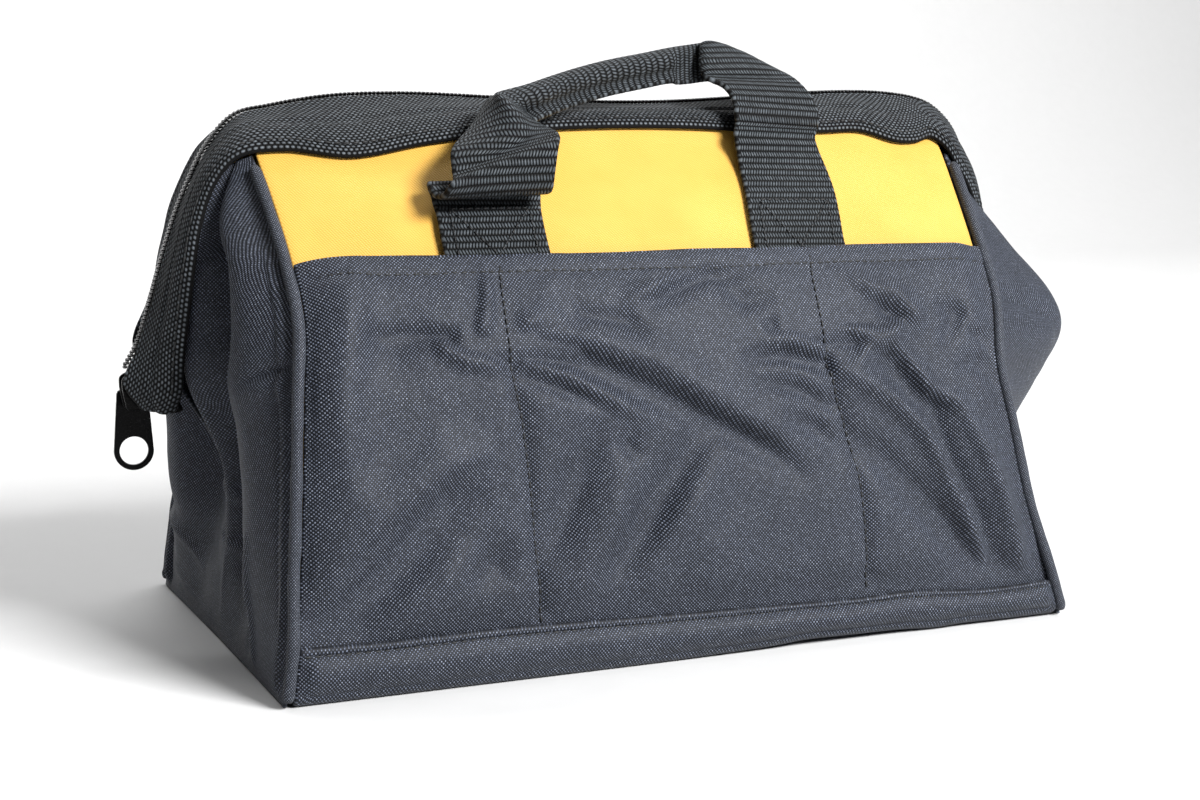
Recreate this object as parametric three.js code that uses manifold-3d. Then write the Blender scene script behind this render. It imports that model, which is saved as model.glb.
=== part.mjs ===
// A small wide-mouth tool bag of woven polyester, standing zipped shut and empty.
// Millimetres, +Z up. The origin is the middle of the flat base, the front faces -Y
// and the length runs along X. The front and back panels lean together like a tent
// and meet at a zip that runs along the top and down the middle of both ends.
import * as THREE from "three";
import { mergeVertices } from "three/addons/utils/BufferGeometryUtils.js";
import Module from "manifold-3d";

const wasm = await Module();
wasm.setup();

// ---------------------------------------------------------------- driving sizes
const CLOTH = 1.4; // coated polyester wall
const TAPE = 1.6; // woven zip band
const WEBBING = 2.0; // handle webbing
const WEBBING_WIDTH = 36.5;
const BASE_CLOTH = 2.0; // doubled base panel
const PIPING_R = 2.0;
const GAP = 0.4; // room kept between sewn layers

const BASE_STRIP_TOP = 16; // height of the base cloth's turn-up
const BASE_CORNER_R = 3;
const BASE_HALF = 148.6;
const PANEL_BOTTOM = 3;
const UNDER_BAND = 1; // the panel reaches this far up under the zip band
const POCKET_BOTTOM = 4.2;
const POCKET_TOP = 137.5;
const EDGE = 2.3; // panel edges stop this far inside the corner seam
const POCKET_LIFT = 5.4; // pocket stands this far off the panel behind it
const POCKET_EDGE_LIFT = 2.25;
const LEG_LIFT = CLOTH / 2 + GAP + WEBBING / 2 + 0.5;

const HANDLE_X = [-65.5, 55]; // middle of the two webbing legs
const HANDLE_FOOT = 112; // the legs end behind the pocket at this height
const GRIP_ARC = 3.6; // half of the rounded back of the folded grip, along the cloth

const CHAIN_HALF = 3.0; // half width of the closed coil
const CHAIN_THICK = 2.6;
const BAND_OFF = CHAIN_HALF + 0.9;

// Corner seams, from the base up: where the front and back panels meet the end panels.
// left and right = distance of each seam from the middle of the length (the right side
// has sunk in at mid height), depth = distance from the middle plane, crown = how far
// the middle of the panel stands out past its seams.
const SEAM = [
  { z: 0, left: 151.5, right: 152.5, depth: 88, crown: 0 },
  { z: 20, left: 148.7, right: 146, depth: 87, crown: 1 },
  { z: 47, left: 145.4, right: 138.5, depth: 83, crown: 3 },
  { z: 74, left: 142.8, right: 134.2, depth: 78, crown: 4 },
  { z: 97, left: 140.8, right: 130.5, depth: 73.5, crown: 5 },
  { z: 121, left: 137.8, right: 133.5, depth: 65, crown: 5 },
  { z: 140, left: 138, right: 135.5, depth: 51.5, crown: 6 },
  { z: 159, left: 139.5, right: 138.5, depth: 35, crown: 7 },
  { z: 177, left: 141.5, right: 141.5, depth: 18, crown: 8 },
  { z: 186, left: 141.5, right: 141.5, depth: 9.5, crown: 10 },
];

// Folds in the front pocket, in front elevation: a line from (x0, z0) to (x1, z1),
// rise = height of the ridge (negative for a valley), wide = half width of the fold.
const POCKET_FOLDS = [
  { x0: -69, z0: 109, x1: 43, z1: 56, rise: -3.2, wide: 9 },
  { x0: -44, z0: 112, x1: 30, z1: 84, rise: 3.4, wide: 9 },
  { x0: -2, z0: 76, x1: -42, z1: 25, rise: -2.8, wide: 8 },
  { x0: 16, z0: 72, x1: -20, z1: 22, rise: 2.4, wide: 11 },
  { x0: -45, z0: 82, x1: -61, z1: 40, rise: -2.2, wide: 7 },
  { x0: -146, z0: 22, x1: -76, z1: 68, rise: -3.0, wide: 8 },
  { x0: -122, z0: 59, x1: -96, z1: 82, rise: 2.8, wide: 9 },
  { x0: -124, z0: 131, x1: -132, z1: 56, rise: 2.6, wide: 8 },
  { x0: 84, z0: 102, x1: 125, z1: 33, rise: -3.2, wide: 8 },
  { x0: 92, z0: 98, x1: 129, z1: 43, rise: 3.2, wide: 8 },
  { x0: 62, z0: 93, x1: 118, z1: 20, rise: 2.8, wide: 8 },
  { x0: -65, z0: 138, x1: -65, z1: 18, rise: -1.6, wide: 5 },
  { x0: 57, z0: 138, x1: 65, z1: 18, rise: -1.6, wide: 5 },
];

// End panels, by the height of the corner seam: edge = where the panel meets the
// middle line, or the side of the zip slit above it; ridge and puff = outward swell
// near the corner and across the half panel; fold = inward fold beside the zip.
// F is the front half of the panel and B the back half.
const LEFT_END = [
  { z: 0.6, edgeX: 151.4, edgeY: 0, edgeZ: 0.6, ridgeF: 0, foldF: 0, puffF: 0, ridgeB: 0, foldB: 0 },
  { z: 25, edgeX: 150, edgeY: 0, edgeZ: 21, ridgeF: 3, foldF: 3, puffF: 0, ridgeB: 5, foldB: 0 },
  { z: 50, edgeX: 148, edgeY: 0, edgeZ: 41, ridgeF: 7, foldF: 8, puffF: 0, ridgeB: 10, foldB: 3 },
  { z: 74, edgeX: 148, edgeY: 0, edgeZ: 59, ridgeF: 8, foldF: 12, puffF: 0, ridgeB: 13, foldB: 7 },
  { z: 92, edgeX: 152, edgeY: 0, edgeZ: 74, ridgeF: 8, foldF: 15, puffF: 0, ridgeB: 13, foldB: 12 },
  { z: 106, edgeX: 160, edgeY: 13, edgeZ: 91, ridgeF: 8, foldF: 17, puffF: 0, ridgeB: 10, foldB: 16 },
  { z: 121, edgeX: 160, edgeY: 17, edgeZ: 111, ridgeF: 8, foldF: 17, puffF: 0, ridgeB: 8, foldB: 17 },
  { z: 140, edgeX: 158, edgeY: 19, edgeZ: 136, ridgeF: 7, foldF: 15, puffF: 0, ridgeB: 7, foldB: 15 },
  { z: 159, edgeX: 155, edgeY: 18, edgeZ: 156, ridgeF: 4, foldF: 8, puffF: 0, ridgeB: 4, foldB: 8 },
  { z: 174, edgeX: 147.5, edgeY: 18, edgeZ: 169.5, ridgeF: 0, foldF: 1, puffF: 0, ridgeB: 0, foldB: 1 },
];
const RIGHT_END = [
  { z: 0.6, edgeX: 151.4, edgeY: 0, edgeZ: 0.6, ridgeF: 0, foldF: 0, puffF: 0, ridgeB: 0, foldB: 0 },
  { z: 25, edgeX: 150, edgeY: 0, edgeZ: 21, ridgeF: 0, foldF: 0, puffF: 2, ridgeB: 4, foldB: 0 },
  { z: 50, edgeX: 148, edgeY: 0, edgeZ: 41, ridgeF: 0, foldF: 0, puffF: 8, ridgeB: 8, foldB: 3 },
  { z: 74, edgeX: 148, edgeY: 0, edgeZ: 59, ridgeF: 0, foldF: 0, puffF: 25, ridgeB: 10, foldB: 8 },
  { z: 92, edgeX: 152, edgeY: 0, edgeZ: 74, ridgeF: 0, foldF: 0, puffF: 37, ridgeB: 10, foldB: 12 },
  { z: 106, edgeX: 160, edgeY: 13, edgeZ: 91, ridgeF: 0, foldF: 0, puffF: 38, ridgeB: 9, foldB: 15 },
  { z: 121, edgeX: 160, edgeY: 17, edgeZ: 111, ridgeF: 0, foldF: 0, puffF: 28, ridgeB: 8, foldB: 16 },
  { z: 140, edgeX: 158, edgeY: 19, edgeZ: 136, ridgeF: 0, foldF: 0, puffF: 10, ridgeB: 7, foldB: 14 },
  { z: 159, edgeX: 155, edgeY: 18, edgeZ: 156, ridgeF: 0, foldF: 0, puffF: 2, ridgeB: 4, foldB: 8 },
  { z: 174, edgeX: 147.5, edgeY: 18, edgeZ: 169.5, ridgeF: 0, foldF: 0, puffF: 0, ridgeB: 0, foldB: 1 },
];
const SLIT_ROW_Z = 92; // the zip slit starts at this row

// Zip band along the top, from left to right: low = height of its sewn lower edge,
// zip = height of the coil.
const BAND_TOP = [
  { x: -130, low: 175.2, zip: 190.6 },
  { x: -108, low: 173, zip: 194.2 },
  { x: -80, low: 177.5, zip: 195.3 },
  { x: -48, low: 181.5, zip: 194.3 },
  { x: -12, low: 183.4, zip: 193 },
  { x: 24, low: 183.4, zip: 193.2 },
  { x: 60, low: 182, zip: 195.3 },
  { x: 92, low: 181.8, zip: 197.7 },
  { x: 112, low: 179, zip: 198.6 },
  { x: 130, low: 177.2, zip: 197.4 },
];
// Zip band down an end, from the shoulder to the tail: side = sewn edge,
// sideY = its distance from the middle plane, zip = coil at the outer edge.
const BAND_END = [
  { sideX: 146.5, sideY: 22, sideZ: 174.5, zipX: 142, zipZ: 187.5 },
  { sideX: 154.5, sideY: 20.5, sideZ: 165.5, zipX: 152.5, zipZ: 176 },
  { sideX: 159.5, sideY: 19.5, sideZ: 152, zipX: 161, zipZ: 160 },
  { sideX: 162.5, sideY: 19.5, sideZ: 136, zipX: 167.5, zipZ: 142 },
  { sideX: 164.5, sideY: 18, sideZ: 120, zipX: 173, zipZ: 124 },
  { sideX: 166, sideY: 16, sideZ: 106, zipX: 178.5, zipZ: 108 },
  { sideX: 166.5, sideY: 13, sideZ: 94, zipX: 183.5, zipZ: 96 },
  { sideX: 168, sideY: 9, sideZ: 86.5, zipX: 178, zipZ: 87 },
];
// The back band's left tail runs inside the slider.
const BAND_TAIL_INSIDE = [
  { sideX: 165.5, sideY: 14, sideZ: 94, zipX: 169.5, zipZ: 96 },
  { sideX: 162, sideY: 8, sideZ: 84, zipX: 165.5, zipZ: 85 },
];
const CHAIN_TAIL = 6; // the coil stops at this row of the end table
const BAND_CROWN = 3.0;

// Free part of the front handle, left to right: middle of the webbing, direction of
// its width, and fold = 0 flat to 1 doubled over as a grip.
const FRONT_HANDLE = [
  { x: -65.5, y: -41, z: 164.5, bx: -1, by: 0, bz: 0, fold: 0 },
  { x: -65.5, y: -43, z: 170, bx: -1, by: 0, bz: -0.02, fold: 0 },
  { x: -65.5, y: -48.5, z: 171.5, bx: -1, by: 0, bz: -0.06, fold: 0 },
  { x: -65.5, y: -52.5, z: 167, bx: -1, by: 0, bz: -0.12, fold: 0 },
  { x: -65, y: -57, z: 163, bx: -1, by: 0, bz: -0.16, fold: 0 },
  { x: -64.5, y: -62, z: 165.5, bx: -1, by: 0, bz: -0.2, fold: 0 },
  { x: -63.5, y: -62, z: 172, bx: -1, by: 0.05, bz: -0.22, fold: 0 },
  { x: -61.5, y: -56, z: 181, bx: -0.95, by: 0.12, bz: -0.3, fold: 0.12 },
  { x: -57.5, y: -45.5, z: 189.5, bx: -0.8, by: 0.26, bz: -0.54, fold: 0.45 },
  { x: -48.5, y: -34, z: 197.5, bx: -0.45, by: 0.44, bz: -0.76, fold: 0.82 },
  { x: -34, y: -23, z: 203.5, bx: -0.15, by: 0.54, bz: -0.83, fold: 1 },
  { x: -15, y: -16, z: 208.2, bx: 0, by: 0.56, bz: -0.83, fold: 1 },
  { x: 8, y: -12, z: 212.5, bx: 0, by: 0.56, bz: -0.83, fold: 1 },
  { x: 28, y: -11.5, z: 215.5, bx: 0.05, by: 0.58, bz: -0.81, fold: 1 },
  { x: 37.5, y: -12.5, z: 216.4, bx: 0.2, by: 0.66, bz: -0.7, fold: 0.9 },
  { x: 45.5, y: -15.5, z: 212.5, bx: 0.6, by: 0.74, bz: -0.25, fold: 0.42 },
  { x: 52, y: -19, z: 205.5, bx: 0.86, by: 0.46, bz: 0.05, fold: 0.15 },
  { x: 57, y: -24, z: 196, bx: 1, by: 0.1, bz: 0.04, fold: 0.02 },
  { x: 58, y: -29.5, z: 185, bx: 1, by: 0, bz: 0, fold: 0 },
  { x: 57, y: -36.5, z: 172.5, bx: 1, by: 0, bz: 0, fold: 0 },
];
// Free part of the back handle, left to right: it has fallen back and hangs.
const BACK_HANDLE = [
  { x: -65.5, y: 40, z: 166, bx: 1, by: 0, bz: 0, fold: 0 },
  { x: -65.5, y: 43, z: 172.5, bx: 1, by: 0, bz: 0, fold: 0 },
  { x: -65.5, y: 50, z: 175, bx: 1, by: 0, bz: 0, fold: 0 },
  { x: -65.5, y: 57, z: 169.5, bx: 1, by: 0, bz: 0, fold: 0 },
  { x: -64.5, y: 63.5, z: 158, bx: 1, by: -0.05, bz: 0, fold: 0 },
  { x: -61.5, y: 72.8, z: 143, bx: 0.95, by: -0.25, bz: -0.1, fold: 0.15 },
  { x: -54.5, y: 80.8, z: 126, bx: 0.75, by: -0.6, bz: -0.1, fold: 0.5 },
  { x: -40, y: 86.8, z: 113, bx: 0.4, by: -0.9, bz: 0, fold: 0.85 },
  { x: -20, y: 89.3, z: 106, bx: 0.1, by: -1, bz: 0, fold: 1 },
  { x: -3, y: 89.8, z: 104.5, bx: 0, by: -1, bz: 0, fold: 1 },
  { x: 14, y: 89.3, z: 106, bx: -0.1, by: -1, bz: 0, fold: 1 },
  { x: 34, y: 86.8, z: 113, bx: -0.4, by: -0.9, bz: 0, fold: 0.85 },
  { x: 44, y: 80.8, z: 126, bx: -0.75, by: -0.6, bz: -0.1, fold: 0.5 },
  { x: 51, y: 72.8, z: 143, bx: -0.95, by: -0.25, bz: -0.1, fold: 0.15 },
  { x: 54, y: 63.5, z: 158, bx: -1, by: -0.05, bz: 0, fold: 0 },
  { x: 55, y: 57, z: 169.5, bx: -1, by: 0, bz: 0, fold: 0 },
  { x: 55, y: 50, z: 175, bx: -1, by: 0, bz: 0, fold: 0 },
  { x: 55, y: 43, z: 172.5, bx: -1, by: 0, bz: 0, fold: 0 },
  { x: 55, y: 40, z: 166, bx: -1, by: 0, bz: 0, fold: 0 },
];

// Slider and pull tab, behind the tail of the left zip band.
const SLIDER = { x: -179, y: 3.6, z: 92, wide: 10, nose: 7, tall: 13, deep: 7, plate: 1.6 };
const BAIL = { ring: 3.0, wire: 0.8 };
const PIVOT = { x: SLIDER.x, y: SLIDER.y + SLIDER.deep / 2 + 1.7, z: 91 };
const TAB = { long: 28, top: 11, foot: 14, thick: 1.8, hole: 5.1, bar: 2.0, window: 3.8, windowWide: 4.2 };

// ---------------------------------------------------------------- small helpers
const clamp = (v, a, b) => Math.min(b, Math.max(a, v));
const ramp = (a, b, v) => {
  const s = clamp((v - a) / (b - a), 0, 1);
  return s * s * (3 - 2 * s);
};
const bump = (v, mid, wide) => {
  const s = (v - mid) / wide;
  return Math.abs(s) >= 1 ? 0 : (1 - s * s) ** 2;
};

// Smooth value of a table's column at a place along the table's key column.
function read(rows, key, name, at) {
  const n = rows.length - 1;
  let i = 0;
  while (i < n - 1 && at > rows[i + 1][key]) i++;
  const slope = (k) => {
    const a = rows[Math.max(k - 1, 0)], b = rows[Math.min(k + 1, n)];
    return (b[name] - a[name]) / (b[key] - a[key]);
  };
  const p = rows[i], q = rows[i + 1], d = q[key] - p[key];
  const s = clamp((at - p[key]) / d, 0, 1), s2 = s * s, s3 = s2 * s;
  return (
    (2 * s3 - 3 * s2 + 1) * p[name] + (s3 - 2 * s2 + s) * d * slope(i) +
    (3 * s2 - 2 * s3) * q[name] + (s3 - s2) * d * slope(i + 1)
  );
}

// A closed wall of even thickness about a sheet of four-sided faces.
function slab(points, quads, thick) {
  const n = points.length;
  const normals = points.map(() => new THREE.Vector3());
  for (const [a, b, c, d] of quads) {
    const p = points[c].clone().sub(points[a]).cross(points[d].clone().sub(points[b]));
    for (const i of [a, b, c, d]) normals[i].add(p);
  }
  const pos = [], tris = [], rim = new Map();
  for (const side of [0.5, -0.5])
    points.forEach((p, i) => {
      const q = p.clone().addScaledVector(normals[i].clone().normalize(), side * thick);
      pos.push(q.x, q.y, q.z);
    });
  for (const [a, b, c, d] of quads) {
    tris.push(a, b, c, a, c, d, n + a, n + c, n + b, n + a, n + d, n + c);
    for (const [i, j] of [[a, b], [b, c], [c, d], [d, a]])
      if (!rim.delete(`${j}_${i}`)) rim.set(`${i}_${j}`, [i, j]);
  }
  for (const [i, j] of rim.values()) tris.push(j, i, n + i, j, n + i, n + j);
  const g = new THREE.BufferGeometry();
  g.setAttribute("position", new THREE.Float32BufferAttribute(pos, 3));
  g.setIndex(tris);
  g.computeVertexNormals();
  return g;
}

// A slab over a grid of nu by nv faces, at(u, v) giving its middle surface.
function sheet(nu, nv, thick, at) {
  const points = [], quads = [];
  for (let j = 0; j <= nv; j++)
    for (let i = 0; i <= nu; i++) points.push(at(i / nu, j / nv));
  for (let j = 0; j < nv; j++)
    for (let i = 0; i < nu; i++) {
      const k = j * (nu + 1) + i;
      quads.push([k, k + 1, k + nu + 2, k + nu + 1]);
    }
  return slab(points, quads, thick);
}

function solid(geometry) {
  const g = geometry.index ? geometry.toNonIndexed() : geometry.clone();
  for (const name of Object.keys(g.attributes)) if (name !== "position") g.deleteAttribute(name);
  const m = mergeVertices(g, 1e-4);
  return new wasm.Manifold(
    new wasm.Mesh({ numProp: 3, vertProperties: m.attributes.position.array, triVerts: new Uint32Array(m.index.array) }),
  );
}
function shell(manifold) {
  const m = manifold.getMesh();
  const g = new THREE.BufferGeometry();
  g.setAttribute("position", new THREE.BufferAttribute(new Float32Array(m.vertProperties), 3));
  g.setIndex(new THREE.BufferAttribute(new Uint32Array(m.triVerts), 1));
  g.computeVertexNormals();
  return g;
}

// ---------------------------------------------------------------- panels
const half = (z, sx) => read(SEAM, "z", sx < 0 ? "left" : "right", z);
const depth = (z) => read(SEAM, "z", "depth", z);
const crown = (z) => read(SEAM, "z", "crown", z);

// Outward direction of the panel's profile, in its Y (away from the middle) and Z.
function lean(z) {
  const d = (depth(z + 1) - depth(z - 1)) / 2, l = Math.hypot(1, d);
  return { out: 1 / l, up: -d / l };
}

// A point of the front (side -1) or back (side 1) panel, lifted off its surface.
function onPanel(side, x, z, lift) {
  const u = clamp(x / half(z, x), -1, 1), n = lean(z);
  const y = depth(z) + crown(z) * (1 - u * u) + lift * n.out;
  return new THREE.Vector3(x, side * y, z + lift * n.up);
}

function pocketFold(x, z) {
  let rise = 0;
  for (const f of POCKET_FOLDS) {
    const dx = f.x1 - f.x0, dz = f.z1 - f.z0, l2 = dx * dx + dz * dz;
    const s = ((x - f.x0) * dx + (z - f.z0) * dz) / l2;
    const d = Math.abs((x - f.x0) * dz - (z - f.z0) * dx) / Math.sqrt(l2);
    rise += f.rise * bump(d, 0, 2 * f.wide) * ramp(-0.12, 0.15, s) * ramp(1.12, 0.85, s);
  }
  return rise;
}

function panel(side) {
  const [nu, nv] = [12, 9];
  return sheet(nu, nv, CLOTH, (u, v) => {
    const w = -side * (2 * u - 1), top = read(BAND_TOP, "x", "low", w * 136) + UNDER_BAND;
    const z = PANEL_BOTTOM + v * (top - PANEL_BOTTOM);
    return onPanel(side, w * (half(z, w) - EDGE), z, 0);
  });
}

function pocket(side, folds) {
  const [nu, nv] = folds ? [30, 15] : [12, 11];
  return sheet(nu, nv, CLOTH, (u, v) => {
    const z = POCKET_BOTTOM + v * (POCKET_TOP - POCKET_BOTTOM);
    const w = -side * (2 * u - 1), x = w * (half(z, w) - EDGE);
    const inner = ramp(1, 0.9, Math.abs(w)) * ramp(BASE_STRIP_TOP + 2, BASE_STRIP_TOP + 24, z);
    const leg = Math.min(...HANDLE_X.map((h) => Math.abs(x - h)));
    const least = leg < 32 && z > HANDLE_FOOT - 12 ? LEG_LIFT + WEBBING / 2 + 2 * GAP + CLOTH / 2 : POCKET_EDGE_LIFT;
    const lift = POCKET_EDGE_LIFT + inner * (POCKET_LIFT - POCKET_EDGE_LIFT + (folds ? pocketFold(x, z) * ramp(1, 0.9, v) : 0));
    return onPanel(side, x, z, Math.max(lift, least));
  });
}

// Base cloth: flat underneath, turned up over the foot of the pockets.
function base() {
  const lift = POCKET_EDGE_LIFT + CLOTH / 2 + GAP + BASE_CLOTH / 2, mid = BASE_CLOTH / 2;
  const wall = depth(0) + lift, r = BASE_CORNER_R;
  const side = [];
  for (const z of [BASE_STRIP_TOP, (BASE_STRIP_TOP + mid + r) / 2])
    side.push([depth(z) + lift, z]);
  for (let i = 0; i <= 3; i++) {
    const a = (i / 3) * (Math.PI / 2);
    side.push([wall - r + r * Math.cos(a), mid + r - r * Math.sin(a)]);
  }
  const outline = [...side.map(([y, z]) => [-y, z]), ...side.reverse()];
  return sheet(6, outline.length - 1, BASE_CLOTH, (u, v) => {
    const [y, z] = outline[Math.round(v * (outline.length - 1))], w = 2 * u - 1;
    const reach = Math.min(BASE_HALF, half(z, w) - EDGE);
    return new THREE.Vector3(w * reach, y + Math.sign(y) * crown(z) * (1 - w * w), z);
  });
}

// End panel with its zip slit: two halves that share the middle line below the slit.
function endPanel(sx, rows) {
  const across = 8, up = 13, slit = 7; // faces; the slit opens above row 7
  const zs = [];
  for (let j = 0; j <= up; j++)
    zs.push(
      j <= slit
        ? rows[0].z + (j / slit) * (SLIT_ROW_Z - rows[0].z)
        : SLIT_ROW_Z + ((j - slit) / (up - slit)) * (rows.at(-1).z - SLIT_ROW_Z),
    );
  const at = (z, s, back) => {
    const get = (name) => read(rows, "z", name, z);
    const sy = back ? 1 : -1;
    const corner = new THREE.Vector3(sx * (half(z, sx) + 0.6), sy * (depth(z) - 3.0), z);
    const edge = new THREE.Vector3(sx * get("edgeX"), sy * (z <= SLIT_ROW_Z ? 0 : get("edgeY")), get("edgeZ"));
    const p = corner.lerp(edge, s);
    const ridge = get(back ? "ridgeB" : "ridgeF") * bump(s, 0.36, 0.36);
    const puff = back ? 0 : get("puffF") * bump(s, 0.5, 0.5);
    const fold = get(back ? "foldB" : "foldF") * bump(s, 0.72, 0.28);
    // the folds fade to nothing on the middle line below the slit
    p.x += sx * (ridge + puff - fold);
    return p;
  };
  const points = [], index = new Map(), quads = [];
  const id = (j, i, back) => {
    const shared = i === across && j <= slit;
    const key = `${j}_${i}_${shared ? 0 : back}`;
    if (!index.has(key)) {
      index.set(key, points.length);
      points.push(at(zs[j], i / across, back));
    }
    return index.get(key);
  };
  for (let j = 0; j < up; j++)
    for (let i = 0; i < across; i++)
      for (const back of [0, 1]) {
        const q = [id(j, i, back), id(j, i + 1, back), id(j + 1, i + 1, back), id(j + 1, i, back)];
        quads.push(back ? q.reverse() : q);
      }
  return slab(points, quads, CLOTH);
}

// Piping cord in the corner seam.
function piping(sx, sy) {
  const line = [];
  for (let i = 0; i <= 12; i++) {
    const z = 1.4 + (i / 12) * 169.5;
    line.push(new THREE.Vector3(sx * (half(z, sx) + 0.6), sy * (depth(z) + 1.2), z));
  }
  return cord(new THREE.CatmullRomCurve3(line), 11, PIPING_R, PIPING_R, 7);
}

// A tube of oval section along a curve.
function cord(curve, steps, rx, ry, sides) {
  const section = new THREE.Shape();
  for (let i = 0; i < sides; i++) {
    const a = (i / sides) * 2 * Math.PI;
    section[i ? "lineTo" : "moveTo"](rx * Math.cos(a), ry * Math.sin(a));
  }
  return new THREE.ExtrudeGeometry(section, { steps, extrudePath: curve });
}

// ---------------------------------------------------------------- zip
// Sewn edge and coil edge of one zip band, from the left tail to the right tail.
function bandRows(sy, leftEnd, rightEnd) {
  const rows = [];
  const end = (sx, r) =>
    rows.push({
      sewn: new THREE.Vector3(sx * r.sideX, sy * r.sideY, r.sideZ),
      zip: new THREE.Vector3(sx * r.zipX, sy * BAND_OFF, r.zipZ),
    });
  for (const r of leftEnd.toReversed()) end(-1, r);
  for (const r of BAND_TOP)
    rows.push({
      sewn: onPanel(sy, r.x, r.low, CLOTH / 2 + TAPE / 2 + 2 * GAP),
      zip: new THREE.Vector3(r.x, sy * BAND_OFF, r.zip),
    });
  for (const r of rightEnd) end(1, r);
  return rows;
}

function band(sy, leftEnd, rightEnd) {
  const rows = bandRows(sy, leftEnd, rightEnd);
  const sewn = new THREE.CatmullRomCurve3(rows.map((r) => r.sewn));
  const zip = new THREE.CatmullRomCurve3(rows.map((r) => r.zip));
  const middle = new THREE.Vector3(0, 0, 150);
  return sheet(Math.round((rows.length - 1) * 1.6), 3, TAPE, (u, v) => {
    const a = sewn.getPoint(u), b = zip.getPoint(u), p = a.clone().lerp(b, v);
    const along = sewn.getTangent(u).add(zip.getTangent(u));
    const out = b.clone().sub(a).cross(along).normalize();
    if (out.dot(p.clone().sub(middle)) < 0) out.negate();
    return p.addScaledVector(out, BAND_CROWN * 4 * v * (1 - v));
  });
}

function chain() {
  const line = bandRows(-1, BAND_END.slice(0, CHAIN_TAIL + 1), BAND_END).map((r) => r.zip.setY(0));
  line[0].z += 5;
  line[0].x += 1;
  return cord(new THREE.CatmullRomCurve3(line), Math.round((line.length - 1) * 1.6), CHAIN_HALF, CHAIN_THICK / 2, 6);
}

function slider() {
  const { wide, nose, tall, deep, plate } = SLIDER;
  const shield = new THREE.Shape();
  shield.moveTo(-nose / 2, -tall / 2);
  shield.lineTo(nose / 2, -tall / 2);
  shield.lineTo(wide / 2, tall * 0.1);
  shield.lineTo(wide / 2, tall * 0.38);
  shield.lineTo(wide * 0.3, tall / 2);
  shield.lineTo(-wide * 0.3, tall / 2);
  shield.lineTo(-wide / 2, tall * 0.38);
  shield.lineTo(-wide / 2, tall * 0.1);
  // plates stand in the XZ plane, one in front of the coil and one behind it
  const slice = (shape, from, thick) =>
    solid(
      new THREE.ExtrudeGeometry(shape, { depth: thick, bevelEnabled: false })
        .rotateX(Math.PI / 2)
        .translate(0, from + thick, 0),
    );
  const post = new THREE.Shape();
  post.moveTo(-1.6, tall * 0.1);
  post.lineTo(0, -tall * 0.3);
  post.lineTo(1.6, tall * 0.1);
  post.lineTo(0, tall * 0.45);
  const half = deep / 2;
  const arch = [];
  for (let i = 0; i <= 10; i++) {
    const a = -0.8 * Math.PI + (i / 10) * 1.6 * Math.PI;
    arch.push(new THREE.Vector3(0, half + 1.7 + BAIL.ring * Math.cos(a), PIVOT.z - SLIDER.z + BAIL.ring * Math.sin(a)));
  }
  const bail = solid(cord(new THREE.CatmullRomCurve3(arch), 11, BAIL.wire, BAIL.wire, 6));
  return shell(
    slice(shield, half - plate, plate).add(slice(shield, -half, plate)).add(slice(post, -half + 0.2, deep - 0.4)).add(bail),
  );
}

function pullTab() {
  const { long, top, foot, thick, hole, bar, window, windowWide } = TAB;
  // outline in the tab's own plane, the pivot at the origin and the tab hanging down
  const upper = bar / 2, r = foot / 2, low = -long + r;
  const s = new THREE.Shape();
  s.moveTo(-top / 2 + 1, upper);
  s.lineTo(-top / 2, upper - 1);
  s.lineTo(-foot / 2, low);
  s.absarc(0, low, r, Math.PI, 2 * Math.PI, false);
  s.lineTo(top / 2, upper - 1);
  s.lineTo(top / 2 - 1, upper);
  const eye = new THREE.Path();
  eye.absarc(0, low, hole, 0, 2 * Math.PI, true);
  const slot = new THREE.Path();
  slot.moveTo(-windowWide / 2, -bar / 2);
  slot.lineTo(windowWide / 2, -bar / 2);
  slot.lineTo(windowWide / 2, -bar / 2 - window);
  slot.lineTo(-windowWide / 2, -bar / 2 - window);
  s.holes.push(eye, slot);
  return new THREE.ExtrudeGeometry(s, { depth: thick, bevelEnabled: false, curveSegments: 9 })
    .translate(0, 0, -thick / 2)
    .rotateX(Math.PI / 2);
}

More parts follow.
